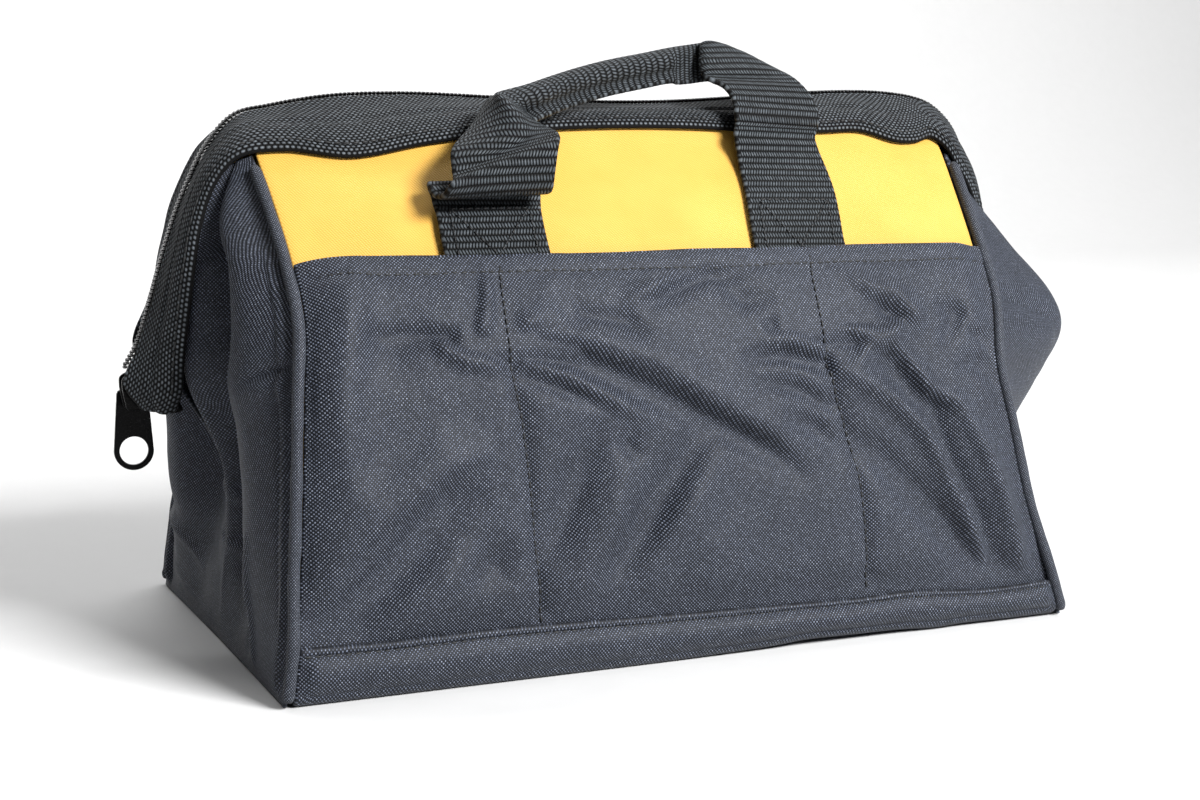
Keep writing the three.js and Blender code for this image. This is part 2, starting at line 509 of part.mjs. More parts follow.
// ---------------------------------------------------------------- handles
// Webbing along a path: flat on the legs, doubled lengthwise along the grip.
function handle(side, free) {
  const legs = [HANDLE_FOOT, 121, 131, 140, 149, 157];
  const leg = (x, b) => legs.map((z) => {
    const p = onPanel(side, x, z, LEG_LIFT + ramp(140, 160, z) * 1.2);
    return { x, y: p.y, z: p.z, bx: b, by: 0, bz: 0, fold: 0 };
  });
  const rows = [...leg(HANDLE_X[0], side), ...free, ...leg(HANDLE_X[1], -side).reverse()];
  const path = new THREE.CatmullRomCurve3(rows.map((r) => new THREE.Vector3(r.x, r.y, r.z)));
  const wide = new THREE.CatmullRomCurve3(rows.map((r) => new THREE.Vector3(r.bx, r.by, r.bz)));
  const fold = new THREE.CatmullRomCurve3(rows.map((r) => new THREE.Vector3(r.fold, 0, 0)));
  const half = WEBBING_WIDTH / 2, cross = [-half, -GRIP_ARC, -GRIP_ARC / 2, GRIP_ARC / 2, GRIP_ARC, half];
  const along = rows.length - 1;
  return sheet(cross.length - 1, along, WEBBING, (u, v) => {
    const p = path.getPoint(v), t = path.getTangent(v);
    const b = wide.getPoint(v);
    b.addScaledVector(t, -b.dot(t)).normalize();
    const n = t.clone().cross(b).normalize();
    const bend = (clamp(fold.getPoint(v).x, 0, 1) * Math.PI) / 2;
    const w = cross[Math.round(u * (cross.length - 1))], a = Math.abs(w);
    // along the cloth from the middle: first round the bend, then straight on
    const arc = Math.min(a, GRIP_ARC), rest = a - arc, turn = (bend * arc) / GRIP_ARC;
    const r = bend > 1e-4 ? GRIP_ARC / bend : 0;
    const outAlong = (bend > 1e-4 ? r * Math.sin(turn) : arc) + rest * Math.cos(bend);
    const down = (bend > 1e-4 ? r * (1 - Math.cos(turn)) : 0) + rest * Math.sin(bend);
    return p.addScaledVector(b, Math.sign(w) * outAlong).addScaledVector(n, -down);
  });
}

// ---------------------------------------------------------------- assembly
const paint = (color, roughness, metalness = 0) => new THREE.MeshStandardMaterial({ color, roughness, metalness });
const GREY_CLOTH = paint(0x3b3e45, 0.85);
const YELLOW_CLOTH = paint(0xfbe13a, 0.75);
const BLACK_TAPE = paint(0x26282b, 0.8);
const WEB_TAPE = paint(0x2d3033, 0.8);
const COIL = paint(0x101113, 0.35);
const BLACK_METAL = paint(0x0b0c0d, 0.35, 0.6);

function piece(group, name, geometry, material) {
  const m = new THREE.Mesh(geometry, material);
  m.name = name;
  group.add(m);
  return m;
}

const bag = new THREE.Group();

const body = new THREE.Group();
bag.add(body);
piece(body, "base_panel", base(), GREY_CLOTH);
piece(body, "front_panel", panel(-1), YELLOW_CLOTH);
piece(body, "back_panel", panel(1), YELLOW_CLOTH);
piece(body, "front_pocket", pocket(-1, true), GREY_CLOTH);
piece(body, "back_pocket", pocket(1, false), GREY_CLOTH);
piece(body, "left_end_panel", endPanel(-1, LEFT_END), GREY_CLOTH);
piece(body, "right_end_panel", endPanel(1, RIGHT_END), GREY_CLOTH);
for (const [fb, sy] of [["front", -1], ["back", 1]])
  for (const [lr, sx] of [["left", -1], ["right", 1]])
    piece(body, `piping_${fb}_${lr}`, piping(sx, sy), GREY_CLOTH);

const zip = new THREE.Group();
bag.add(zip);
piece(zip, "front_zip_band", band(-1, BAND_END, BAND_END), BLACK_TAPE);
piece(zip, "back_zip_band", band(1, [...BAND_END.slice(0, -2), ...BAND_TAIL_INSIDE], BAND_END), BLACK_TAPE);
piece(zip, "zip_chain", chain(), COIL);
piece(zip, "zip_slider", slider(), BLACK_METAL).position.set(SLIDER.x, SLIDER.y, SLIDER.z);
piece(zip, "zip_pull_tab", pullTab(), BLACK_METAL).position.set(PIVOT.x, PIVOT.y, PIVOT.z);

const handles = new THREE.Group();
bag.add(handles);
piece(handles, "front_handle", handle(-1, FRONT_HANDLE), WEB_TAPE);
piece(handles, "back_handle", handle(1, BACK_HANDLE), WEB_TAPE);

export default bag;
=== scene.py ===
import math

import bpy
import numpy as np
from mathutils import Matrix


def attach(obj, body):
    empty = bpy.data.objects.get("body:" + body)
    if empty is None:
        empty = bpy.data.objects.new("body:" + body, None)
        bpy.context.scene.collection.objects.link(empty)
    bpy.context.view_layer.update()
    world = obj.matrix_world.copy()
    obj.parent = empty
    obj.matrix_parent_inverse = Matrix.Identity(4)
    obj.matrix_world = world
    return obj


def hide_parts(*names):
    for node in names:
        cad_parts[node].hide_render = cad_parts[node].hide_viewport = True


# A small wide-mouth tool bag of woven polyester, standing zipped shut and empty.
# Tables are in millimetres, in the CAD frame; meshes are written in metres.
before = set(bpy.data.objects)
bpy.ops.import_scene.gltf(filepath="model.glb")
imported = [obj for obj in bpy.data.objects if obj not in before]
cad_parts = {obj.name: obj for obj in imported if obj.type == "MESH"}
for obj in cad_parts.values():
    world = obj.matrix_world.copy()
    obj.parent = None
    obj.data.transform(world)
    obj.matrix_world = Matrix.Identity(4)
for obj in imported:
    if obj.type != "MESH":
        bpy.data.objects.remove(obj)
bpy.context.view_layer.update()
MM = 0.001

# ---------------------------------------------------------------- driving sizes
CLOTH, TAPE, WEBBING, WEBBING_WIDTH, BASE_CLOTH = 1.4, 1.6, 2.0, 36.5, 2.0
PIPING_R = 2.2
GAP, EDGE = 0.4, 2.3
BASE_HALF, BASE_CORNER_R = 148.6, 3.0
PANEL_BOTTOM, POCKET_BOTTOM, POCKET_TOP = 3.0, 4.2, 137.5
POCKET_LIFT, POCKET_EDGE_LIFT, LEG_LIFT = 5.4, 2.25, 2.6
HANDLE_X, HANDLE_FOOT, GRIP_ARC = (-65.5, 55.0), 112.0, 3.6
BAND_OFF, BAND_CROWN, SLIT_ROW_Z = 3.9, 3.0, 92.0

# corner seams: z, left, right, depth, crown
SEAM = np.array([
    (0, 151.5, 152.5, 88, 0), (20, 148.7, 146, 87, 1), (47, 145.4, 138.5, 83, 3),
    (74, 142.8, 134.2, 78, 4), (97, 140.8, 130.5, 73.5, 5), (121, 137.8, 133.5, 65, 5),
    (140, 138, 135.5, 51.5, 6), (159, 139.5, 138.5, 35, 7), (177, 141.5, 141.5, 18, 8),
    (186, 141.5, 141.5, 9.5, 10)], float)

# end panels: z, edgeX, edgeY, edgeZ, ridgeF, foldF, puffF, ridgeB, foldB
LEFT_END = np.array([
    (0.6, 151.4, 0, 0.6, 0, 0, 0, 0, 0), (25, 150, 0, 21, 3, 3, 0, 5, 0),
    (50, 148, 0, 41, 7, 8, 0, 10, 3), (74, 148, 0, 59, 8, 12, 0, 13, 7),
    (92, 152, 0, 74, 8, 15, 0, 13, 12), (106, 163.5, 12, 97, 8, 17, 0, 10, 16),
    (121, 163.3, 14.5, 115, 8, 17, 0, 8, 17), (140, 161.3, 16, 137, 7, 15, 0, 7, 15),
    (159, 158, 16.5, 155.5, 4, 8, 0, 4, 8), (174, 149.5, 17.5, 171, 0, 1, 0, 0, 1)], float)
RIGHT_END = np.array([
    (0.6, 151.4, 0, 0.6, 0, 0, 0, 0, 0), (25, 150, 0, 21, 0, 0, 2, 4, 0),
    (50, 148, 0, 41, 0, 0, 6, 8, 3), (74, 148, 0, 59, 0, 0, 20, 10, 8),
    (92, 152, 0, 74, 0, 0, 34, 10, 12), (106, 163.5, 12, 97, 0, 0, 38, 9, 15),
    (121, 163.3, 14.5, 115, 0, 0, 33, 8, 16), (140, 161.3, 16, 137, 0, 0, 16, 7, 14),
    (159, 158, 16.5, 155.5, 0, 0, 3, 4, 8), (174, 149.5, 17.5, 171, 0, 0, 0, 0, 1)], float)

# zip band along the top: x, height of the sewn lower edge, height of the coil
BAND_TOP = np.array([
    (-130, 175.2, 190.6), (-108, 173, 194.2), (-80, 177.5, 195.3), (-48, 181.5, 194.3),
    (-12, 183.4, 193), (24, 183.4, 193.2), (60, 182, 195.3), (84, 182, 197),
    (103, 182.3, 197.8), (118.5, 178.3, 197.8), (128, 178.3, 197.2), (137, 180, 196)], float)
# zip band down an end: sideX, sideY, sideZ, zipX, zipZ
BAND_END = np.array([
    (146.5, 22, 174.5, 142, 187.5), (154.5, 20.5, 165.5, 152.5, 176),
    (159.5, 19.5, 152, 161, 160), (162.5, 19.5, 136, 167.5, 142),
    (164.5, 18, 120, 173, 124), (166, 16, 106, 178.5, 108),
    (166.5, 13, 94, 183.5, 96), (168, 9, 86.5, 178, 87)], float)
BAND_RIGHT = np.array([
    (142.5, 20.2, 177.4, 145, 193.6), (145.3, 23.8, 170.4, 153, 188), (149, 25.7, 163.6, 158.4, 180.8),
    (153.2, 25.5, 155.4, 162.6, 169.8), (158, 23, 146, 165, 158), (162, 20.5, 135.5, 168, 142),
    (164.5, 18, 120, 173, 124), (166, 16, 106, 178.5, 108), (166.5, 13, 94, 183.5, 96), (168, 9, 86.5, 178, 87)], float)
BAND_TAIL_INSIDE = np.array([(165.5, 14, 94, 169.5, 96), (162, 8, 84, 165.5, 85)], float)
CHAIN_TAIL = 6

# front handle above its sewn legs: rows across the strap, from the left leg over the
# grip to the right leg; two points for a straight row, thirteen for a curved one
ROW_AT = np.array([-18.25, -15.2, -12.2, -9.1, -6.1, -3, 0, 3, 6.1, 9.1, 12.2, 15.2, 18.25])
LEFT_LEG = ((112, -66.3), (121, -66.3), (131, -66.3), (144, -66), (152, -65.2))
RIGHT_LEG = ((131, 53.2), (121, 53), (112, 53))
FRONT_NET = (
    ((-45.4, -44.6, 157.5), (-83.3, -43.6, 158)),
    ((-44.6, -42.6, 161), (-83.6, -42.2, 161)),
    ((-44.7, -43.2, 164), (-84.8, -42.8, 163.6)),
    ((-45.2, -45.8, 166), (-86.1, -45.4, 165.3)),
    ((-45.7, -48.4, 164.7), (-86.3, -48, 163.8)),
    ((-45.7, -50.6, 163), (-85.6, -50, 161.7)),
    ((-45.5, -53.4, 162.6), (-84.7, -53, 161.2)),
    ((-45.7, -56.6, 164.1), (-84, -56.2, 162.2)),
    ((-45.7, -58.4, 169.5), (-83.1, -57.8, 164.1)),
    ((-44.4, -58.2, 178), (-82, -58.2, 165.6)),
    ((-42.9, -56, 180.4), (-80.7, -56.6, 166.8)),
    ((-41.7, -52.8, 181.6), (-79.7, -53.8, 168.2)),
    ((-41.1, -50.5, 182.3), (-43.6, -50.8, 181.6), (-46.2, -51, 180.9), (-49.1, -51.3, 180), (-52.1, -51.5, 179.1), (-55.5, -51.8, 178), (-59,
     -52, 176.9), (-62.5, -52.2, 175.9), (-66.1, -52.3, 174.9), (-69.6, -52.3, 173.9), (-73.1, -52.3, 172.9), (-76.3, -52.2, 171.9), (-79.4, -52,
     170.9)),
    ((-41.2, -48.5, 182.9), (-43, -48.4, 182.7), (-44.8, -48.5, 182.4), (-47, -48.8, 182.2), (-49.3, -49.3, 181.9), (-51.9, -50.2, 181.6),
     (-54.9, -51, 181), (-58.5, -51.1, 180), (-62.6, -50.8, 178.8), (-66.6, -50.5, 177.9), (-70.8, -50, 177.1), (-74.6, -49.3, 176.5), (-78.4,
     -48.5, 175.9)),
    ((-41.9, -46, 183.6), (-43.3, -45.4, 183.8), (-44.9, -45, 183.9), (-46.7, -45, 184.2), (-48.9, -45.5, 184.6), (-51.6, -46.9, 185.4), (-54.6,
     -48, 185.8), (-57.5, -47.8, 184.9), (-60.7, -47, 183.6), (-63.9, -46.1, 182.4), (-67.4, -45, 181.3), (-70.7, -43.8, 180.3), (-74.2, -42.5,
     179.2)),
    ((-43.1, -43, 184.7), (-44.2, -41.6, 185.4), (-45.5, -40.6, 186.2), (-47.3, -40.2, 187.3), (-49.5, -40.6, 188.4), (-52.6, -42.5, 190),
     (-55.6, -44, 191), (-57.4, -43.4, 190.3), (-59.1, -42, 188.9), (-61.1, -40.6, 187.7), (-63.2, -39, 186.5), (-65.3, -37.5, 185.1), (-67.5,
     -36, 183.7)),
    ((-44.3, -40.4, 185.6), (-45.7, -38.7, 186.7), (-47.3, -37.6, 187.9), (-49.4, -37.9, 189.6), (-51.7, -38.6, 191.4), (-54.5, -39.3, 193.3),
     (-56.8, -39.5, 194.6), (-57.5, -38.3, 194.6), (-57.9, -36.5, 193.8), (-58.8, -35, 192.7), (-59.9, -33.5, 191.3), (-61, -32.2, 190), (-62,
     -31, 188.5)),
    ((-45.2, -38.4, 186.3), (-46, -36, 187.4), (-47.2, -34.4, 188.8), (-49.2, -35.6, 190.8), (-51.5, -37, 192.8), (-54, -36.4, 194.6), (-56,
     -35, 195.8), (-56.3, -33.3, 195.8), (-56.1, -31.5, 195.2), (-56.2, -30, 194.9), (-56.3, -28.5, 194.6), (-56.4, -27.2, 193.9), (-56.5, -26,
     193.2)),
    ((-43.7, -35.8, 186.9), (-44.1, -32.8, 188.3), (-44.6, -31, 189.9), (-46.1, -33, 192), (-47.6, -35, 194.1), (-48.9, -33.7, 196.1), (-49.6,
     -31.5, 197.4), (-49.2, -29.4, 197.2), (-48.4, -27.5, 196.4), (-47.8, -26.3, 195.6), (-47.2, -25.5, 194.7), (-46.7, -25.2, 193.5), (-46.3,
     -25, 192.2)),
    ((-37.5, -32.4, 189.2), (-38.4, -31.5, 191.1), (-38.9, -31.5, 193), (-38.7, -33.1, 195), (-39.4, -32.9, 197.4), (-40.7, -30.9, 198.8),
     (-41.9, -28.5, 199.3), (-42.4, -26.5, 197.9), (-42, -25.9, 195.5), (-41.3, -26.3, 193.2), (-40.4, -27, 191.1), (-39.6, -27.9, 189.6),
     (-38.9, -28.9, 188.5)),
    ((-27, -27.4, 192.2), (-27.8, -26.6, 194), (-28.3, -26.6, 196), (-28.2, -28.1, 197.9), (-28.9, -27.9, 200.3), (-30.2, -25.9, 201.7), (-31.3,
     -23.5, 202.2), (-31.8, -21.5, 200.8), (-31.4, -20.9, 198.4), (-30.6, -21.3, 196.2), (-29.8, -22, 194.1), (-29, -22.9, 192.5), (-28.3, -23.9,
     191.5)),
    ((-16.5, -23.3, 194.9), (-17.2, -22.5, 196.8), (-17.7, -22.5, 198.8), (-17.6, -24.1, 200.6), (-18.3, -23.9, 203), (-19.3, -21.8, 204.6),
     (-20.3, -19.3, 205.1), (-20.6, -17.2, 203.8), (-20.2, -16.6, 201.4), (-19.5, -17, 199.1), (-18.8, -17.8, 197), (-18.1, -18.7, 195.4),
     (-17.5, -19.7, 194.3)),
    ((-5.7, -20.4, 197.4), (-6.3, -19.5, 199.3), (-6.7, -19.5, 201.3), (-6.7, -21.2, 203.1), (-7.3, -21, 205.6), (-8.1, -18.8, 207.1), (-8.9,
     -16.3, 207.8), (-9.1, -14.2, 206.5), (-8.7, -13.6, 204.1), (-8.1, -14, 201.8), (-7.4, -14.7, 199.6), (-6.9, -15.7, 198), (-6.4, -16.7,
     196.9)),
    ((2.8, -18.7, 199.1), (2.3, -17.9, 201), (1.9, -17.9, 203), (1.9, -19.5, 204.8), (1.4, -19.3, 207.3), (0.7, -17.2, 208.9), (0.1, -14.6,
     209.6), (-0.1, -12.4, 208.3), (0.3, -11.8, 205.9), (0.8, -12.2, 203.6), (1.4, -13, 201.4), (1.9, -14, 199.8), (2.2, -15, 198.6)),
    ((12.4, -17.2, 200.8), (11.9, -16.3, 202.7), (11.5, -16.3, 204.7), (11.4, -17.9, 206.6), (10.9, -17.8, 209), (10.3, -15.6, 210.6), (9.8,
     -13, 211.3), (9.7, -10.8, 210.1), (10.1, -10.2, 207.7), (10.6, -10.6, 205.4), (11.1, -11.4, 203.2), (11.6, -12.4, 201.5), (11.9, -13.4,
     200.4)),
    ((20.4, -16.2, 202.4), (20, -15.3, 204.3), (19.6, -15.3, 206.3), (19.5, -17, 208.1), (19, -16.8, 210.6), (18.4, -14.6, 212.2), (17.9, -12,
     212.9), (17.9, -9.8, 211.7), (18.2, -9.2, 209.3), (18.7, -9.6, 207), (19.2, -10.4, 204.8), (19.7, -11.4, 203.1), (20, -12.4, 201.9)),
    ((23.2, -16, 201.7), (23.7, -14.6, 204), (23.7, -14.2, 206.5), (23, -15.4, 209.2), (23, -15.4, 211.6), (23.9, -13.5, 213.3), (25.2, -11,
     214.2), (26.6, -8.6, 213.4), (27.2, -7.8, 211.4), (27.4, -7.9, 208.7), (27.4, -8.4, 206.4), (27.2, -9.2, 204.2), (27, -10.2, 202.5)),
    ((29.6, -13.5, 202.1), (30.1, -12, 204.9), (30.4, -11, 207.8), (30.2, -11.2, 210.6), (30.2, -11.2, 213), (30.5, -10.6, 214.4), (31.1, -9.4,
     215), (32.6, -7.2, 214.5), (33.7, -6, 212.8), (34.3, -5.8, 210.4), (34.5, -6.2, 207.9), (34.6, -7, 205.6), (34.3, -8, 203.5)),
    ((35.1, -11.8, 202.8), (35.9, -9.8, 205.8), (36.3, -8.5, 208.5), (36.3, -8, 211.3), (36.1, -8, 213.8), (35.7, -8.3, 215.2), (36.1, -8,
     215.7), (38.2, -6, 215.4), (40.3, -4.5, 214), (41.7, -3.9, 211.7), (42.4, -3.8, 209.3), (42.8, -4.1, 206.8), (42.7, -4.8, 204.5)),
    ((37.8, -11.6, 203.1), (38.4, -10, 205.8), (38.7, -9, 208.7), (38.4, -8.6, 211.7), (37.9, -8.6, 214.2), (37.6, -9.2, 215.3), (38.1, -9,
     216), (40.8, -7.2, 215.9), (43.8, -5.2, 214.8), (46.1, -3.9, 212.9), (47.5, -3.3, 210.7), (48.4, -3, 208), (48.8, -3, 205.6)),
    ((38.5, -12.8, 203.5), (38.6, -11.3, 206.6), (38.4, -10.4, 209.6), (37.2, -10.5, 212.8), (36.1, -11.2, 215.4), (36.7, -12.2, 216.3), (39.4,
     -12, 216.6), (42.7, -11, 216.3), (46.6, -9, 215.5), (49.8, -7.2, 213.9), (51.9, -5.8, 211.5), (53.1, -4.8, 208.8), (53.9, -4.2, 206.2)),
    ((37.4, -14, 203.5), (37.3, -12.6, 207.1), (36.4, -12, 210.7), (35, -12.8, 213.7), (35.9, -13.8, 214.4), (38.6, -14, 214.6), (41.8, -13.6,
     214.8), (45.1, -13, 214.7), (48.7, -12, 214.3), (52.6, -10.4, 213.5), (56.4, -8.4, 212.2), (59, -6.5, 210.2), (60.7, -5, 207.8)),
    ((36.2, -15.6, 203.6), (34.8, -14.8, 207.2), (34, -15, 210.3), (35.5, -15.8, 211), (38.9, -15.9, 211.2), (42, -15.7, 211.3), (45.3, -15.2,
     211.4), (48.5, -14.8, 211.4), (51.9, -14.3, 211.3), (55.4, -13.5, 211), (59.2, -12.2, 210.4), (62.5, -10.6, 209.3), (65.6, -8.6, 207.8)),
    ((34.8, -17.4, 203.6), (33.2, -17.6, 206.2), (34.8, -18.2, 207), (38.2, -18.2, 207.2), (41.7, -18, 207.4), (45.1, -17.7, 207.5), (48.5,
     -17.4, 207.6), (51.9, -17.1, 207.6), (55.4, -16.7, 207.5), (59, -16.2, 207.3), (62.7, -15.5, 207), (66.3, -14.6, 206.5), (70.2, -13.2,
     205.5)),
    ((33.5, -20, 203.3), (72.8, -16.6, 203.3)),
    ((39.7, -22.4, 200.5), (76.3, -18.4, 199.9)),
    ((42.2, -24.6, 197), (78.8, -20, 196.1)),
    ((42.6, -26.8, 193.4), (80.4, -21.6, 191.7)),
    ((42, -29.2, 189.5), (80, -23.6, 188)),
    ((42.4, -29, 186.2), (80, -22.6, 184.4)),
    ((40.5, -31.5, 182.4), (76.7, -26.4, 180.9)),
    ((40.9, -32.8, 176.5), (76.8, -29.5, 175.6)),
    ((40.7, -36.2, 169.1), (77.3, -35.2, 168.1)),
    ((39.6, -42.4, 161.2), (76.9, -41.4, 160.7)),
    ((37.6, -49.4, 153), (75, -48.5, 152.4)),
    ((35.4, -57.4, 143.2), (72.4, -56.8, 142.4)),
)
# free part of the back handle: x, y, z, direction of the width, fold
BACK_HANDLE = np.array([
    (-65.5, 40, 166, 1, 0, 0, 0), (-65.5, 43, 172.5, 1, 0, 0, 0), (-65.5, 50, 175, 1, 0, 0, 0),
    (-65.5, 57, 169.5, 1, 0, 0, 0), (-64.5, 63.5, 158, 1, -0.05, 0, 0),
    (-61.5, 72.8, 143, 0.95, -0.25, -0.1, 0.15), (-54.5, 80.8, 126, 0.75, -0.6, -0.1, 0.5),
    (-40, 86.8, 113, 0.4, -0.9, 0, 0.85), (-20, 89.3, 106, 0.1, -1, 0, 1),
    (-3, 89.8, 104.5, 0, -1, 0, 1), (14, 89.3, 106, -0.1, -1, 0, 1),
    (34, 86.8, 113, -0.4, -0.9, 0, 0.85), (44, 80.8, 126, -0.75, -0.6, -0.1, 0.5),
    (51, 72.8, 143, -0.95, -0.25, -0.1, 0.15), (54, 63.5, 158, -1, -0.05, 0, 0),
    (55, 57, 169.5, -1, 0, 0, 0), (55, 50, 175, -1, 0, 0, 0), (55, 43, 172.5, -1, 0, 0, 0),
    (55, 40, 166, -1, 0, 0, 0)], float)

SLIDER = (-179.0, 3.6, 92.0)
PIVOT = (-179.0, 8.8, 91.0)

# sewn divider lines of the front pocket: z, x
DIVIDER_LEFT = np.array([(16, -63.2), (50, -64.9), (84, -67), (100, -69), (112, -69.8), (126, -69.4), (138, -67.4)], float)
DIVIDER_RIGHT = np.array([(16, 65.3), (47, 64.1), (67, 61.4), (89, 55), (100, 52.8), (112, 51.6), (127, 51.9), (138, 54.3)], float)
# upper edge of the base strip in front: x, z
STRIP_FRONT = np.array([(-150, 18.6), (-120, 17.9), (-79, 18.2), (-8, 16.4), (30, 15.6), (62, 14.9),
                        (85, 15.3), (119, 12.9), (150, 13.6)], float)
# lower front edge of the base, lifted off the ground: x, lift
BASE_RISE = np.array([(-150, 0), (-20, 0), (10, 0.4), (28, 0.9), (40, 1.7), (60, 1.5), (79, 1.3),
                      (96, 0.4), (108, 0.8), (130, 0.6), (150, 0.6)], float)

# folds of the front pocket in front elevation: line of (x, z), half width,
# height along the line (negative for a valley), lean of the fold to its left
POCKET_FOLDS = (
    (((-119.5, 135), (-125, 118), (-129, 98), (-129.5, 82), (-127.5, 65), (-123, 57)), 7.5, (1.4, 2.4, 2.6, 2.5, 1.8, 0.4), 0),
    (((-78, 134), (-80, 124), (-83, 117)), 3.6, (-0.8, -1.6, -1), 0),
    (((-74, 131), (-77, 122), (-80, 113)), 3.6, (0.8, 1.5, 0.8), 0),
    (((-116, 115), (-101, 115), (-87, 114), (-75, 111)), 3.2, (-0.6, -1.8, -2, -1.6), -0.3),
    (((-93, 110), (-86, 106), (-74, 104)), 2.8, (1.8, 1.8, 0.8), 0.2),
    (((-146, 22), (-131, 30), (-118, 40), (-106, 52), (-95, 62), (-80, 66)), 7.5, (-1.6, -2.9, -3.2, -3, -2, 0), -0.45),
    (((-135, 42), (-127, 52), (-118, 58), (-107, 65), (-95, 73), (-77, 77)), 6.5, (1.2, 2.6, 3.2, 3.2, 2.6, 0), 0.5),
    (((-128, 22), (-110, 29), (-98, 37), (-86, 48)), 10, (0.4, 1.5, 1.7, 0), 0),
    (((-91, 32), (-80, 40), (-71, 46)), 7, (0, -1.8, 0), 0),
    (((-70, 109), (-64, 113), (-52, 119)), 2.6, (-2, -1.8, 0), 0),
    (((-69, 112), (-62, 116), (-51, 120)), 3, (0.8, 1.4, 0), 0),
    (((-70, 109), (-48, 107), (-28, 98), (-7, 88), (14, 77), (29, 69), (43, 58)), 4.8, (-1.6, -2.2, -2.6, -2.6, -2.4, -1.8, 0), -0.2),
    (((-56, 114), (-36, 109), (-18, 103), (5, 90), (27, 78), (39, 68)), 6.0, (0.6, 1.7, 2.1, 2, 1.5, 0), 0.4),
    (((-65, 105), (-51, 100), (-32, 90), (-15, 82)), 2.8, (1, 1.6, 1.4, 0), 0),
    (((-64, 100), (-49, 95), (-32, 87)), 3, (-1, -1.6, 0), 0),
    (((-43, 80), (-48, 68), (-57, 50), (-63, 37)), 6.5, (-0.6, -2.6, -2.6, 0), 0),
    (((-3, 76), (-16, 61), (-26, 47), (-42, 28)), 6.5, (-1.4, -3, -3, -0.4), 0),
    (((-29, 74), (-37, 54), (-50, 33)), 7, (0.4, 1.8, 1.2), 0),
    (((-33, 81), (-29, 76), (-26, 69)), 4, (0, -1.6, 0), 0),
    (((4, 70), (-7, 54), (-22, 36)), 7, (0.4, 1.8, 0.6), 0),
    (((-51, 128), (-44, 119), (-25, 116), (-17, 110)), 4, (0, -1.6, -1.4, 0), 0),
    (((-27, 122), (-13, 126), (-2, 129)), 3, (0, 1.8, 0.6), 0),
    (((-22, 121), (-7, 125), (11, 130), (28, 129)), 3, (0, -1.6, -2, 0), 0),
    (((10, 128), (22, 122), (36, 121)), 4, (0, -1.8, 0), 0),
    (((26, 113), (38, 114), (48, 110)), 2.8, (0, -2.2, -2.2), 0),
    (((20, 103), (36, 103), (51, 99)), 3.2, (-0.6, -2.4, -2.2), 0),
    (((25, 108), (38, 108), (50, 105)), 2.6, (0, 1.6, 1.2), 0),
    (((23, 95), (38, 92), (52, 85)), 3.2, (-0.4, -2.2, -1.4), 0),
    (((30, 84), (45, 78), (56, 68)), 4, (0, -2, -0.6), 0),
    (((48, 116), (60, 114), (74, 112)), 2.4, (-1.6, -1.8, 0), 0),
    (((50, 109), (60, 108), (71, 104)), 2.6, (-1.6, -2, -0.6), 0),
    (((51, 112), (65, 110), (77, 108)), 2.4, (0.8, 1.4, 0.6), 0),
    (((66, 128), (74, 124), (86, 121), (92, 115)), 3.4, (0.6, 2, 2.2, 1.2), 0),
    (((69, 120), (79, 117), (87, 112)), 2.8, (0, -1.2, -1.2), 0),
    (((92, 115), (80, 108), (69, 104), (64, 99)), 3.2, (1.2, 2, 1.6, 1), 0),
    (((77, 99), (82, 95), (88, 87), (97, 82)), 5.6, (-1.2, -2.2, -2.4, -1.2), 0),
    (((82, 104), (88, 97), (95, 89), (107, 83)), 3.2, (1.2, 1.7, 1.8, 1), 0),
    (((55, 98), (67, 92), (79, 85), (90, 74), (99, 58), (109, 40), (121, 17)), 3.8, (1, 1.8, 2.4, 3, 3, 2.8, 1), 0.1),
    (((52, 79), (71, 66), (89, 48), (105, 29), (116, 16)), 5.5, (0, -2.6, -3.4, -3.2, -1.2), 0),
    (((96, 79), (104, 59), (114, 40), (124, 13)), 4.6, (-2.4, -3.4, -3.4, -1), 0),
    (((107, 83), (116, 68), (123, 52), (130, 31), (134, 16)), 3.8, (1, 2.4, 2.6, 2.2, 0.4), 0),
    (((102, 119), (112, 114), (106, 107)), 4, (0, -2.2, -1), 0),
    (((107, 97), (119, 96), (128, 93)), 4, (0, -1.8, -1), 0),
    (((115, 109), (122, 106), (127, 103)), 2.2, (0, -2.4, -3), 0),
    (((80, 15), (99, 15), (122, 12), (140, 14)), 2.6, (0, -1.4, -1.4, 0), 0),
    (((15, 54), (2, 38), (-10, 26)), 12, (0, 1.2, 0), 0),
    (((-118, 99), (-111, 112), (-98, 122)), 9, (0, -1.4, 0), 0),
)
# the back pocket and the back of the bag are not seen: a few quiet folds
BACK_FOLDS = (
    (((-120, 104), (-70, 78), (-20, 64), (30, 60)), 8, (0, -1.8, -1.8, 0)),
    (((-112, 114), (-60, 92), (-10, 80), (40, 76)), 9, (0, 1.6, 1.6, 0)),
    (((120, 118), (95, 84), (84, 44), (96, 20)), 7, (0, -1.8, -1.8, 0)),
    (((108, 112), (80, 78), (68, 42)), 9, (0, 1.6, 0)),
    (((-138, 24), (-112, 44), (-96, 70)), 7, (-1.6, -1.8, 0)),
    (((132, 128), (133, 92), (138, 52)), 5, (-0.8, -1.8, 0)),
    (((-131, 128), (-135, 92), (-140, 52)), 5, (-0.8, -1.8, 0)),
)
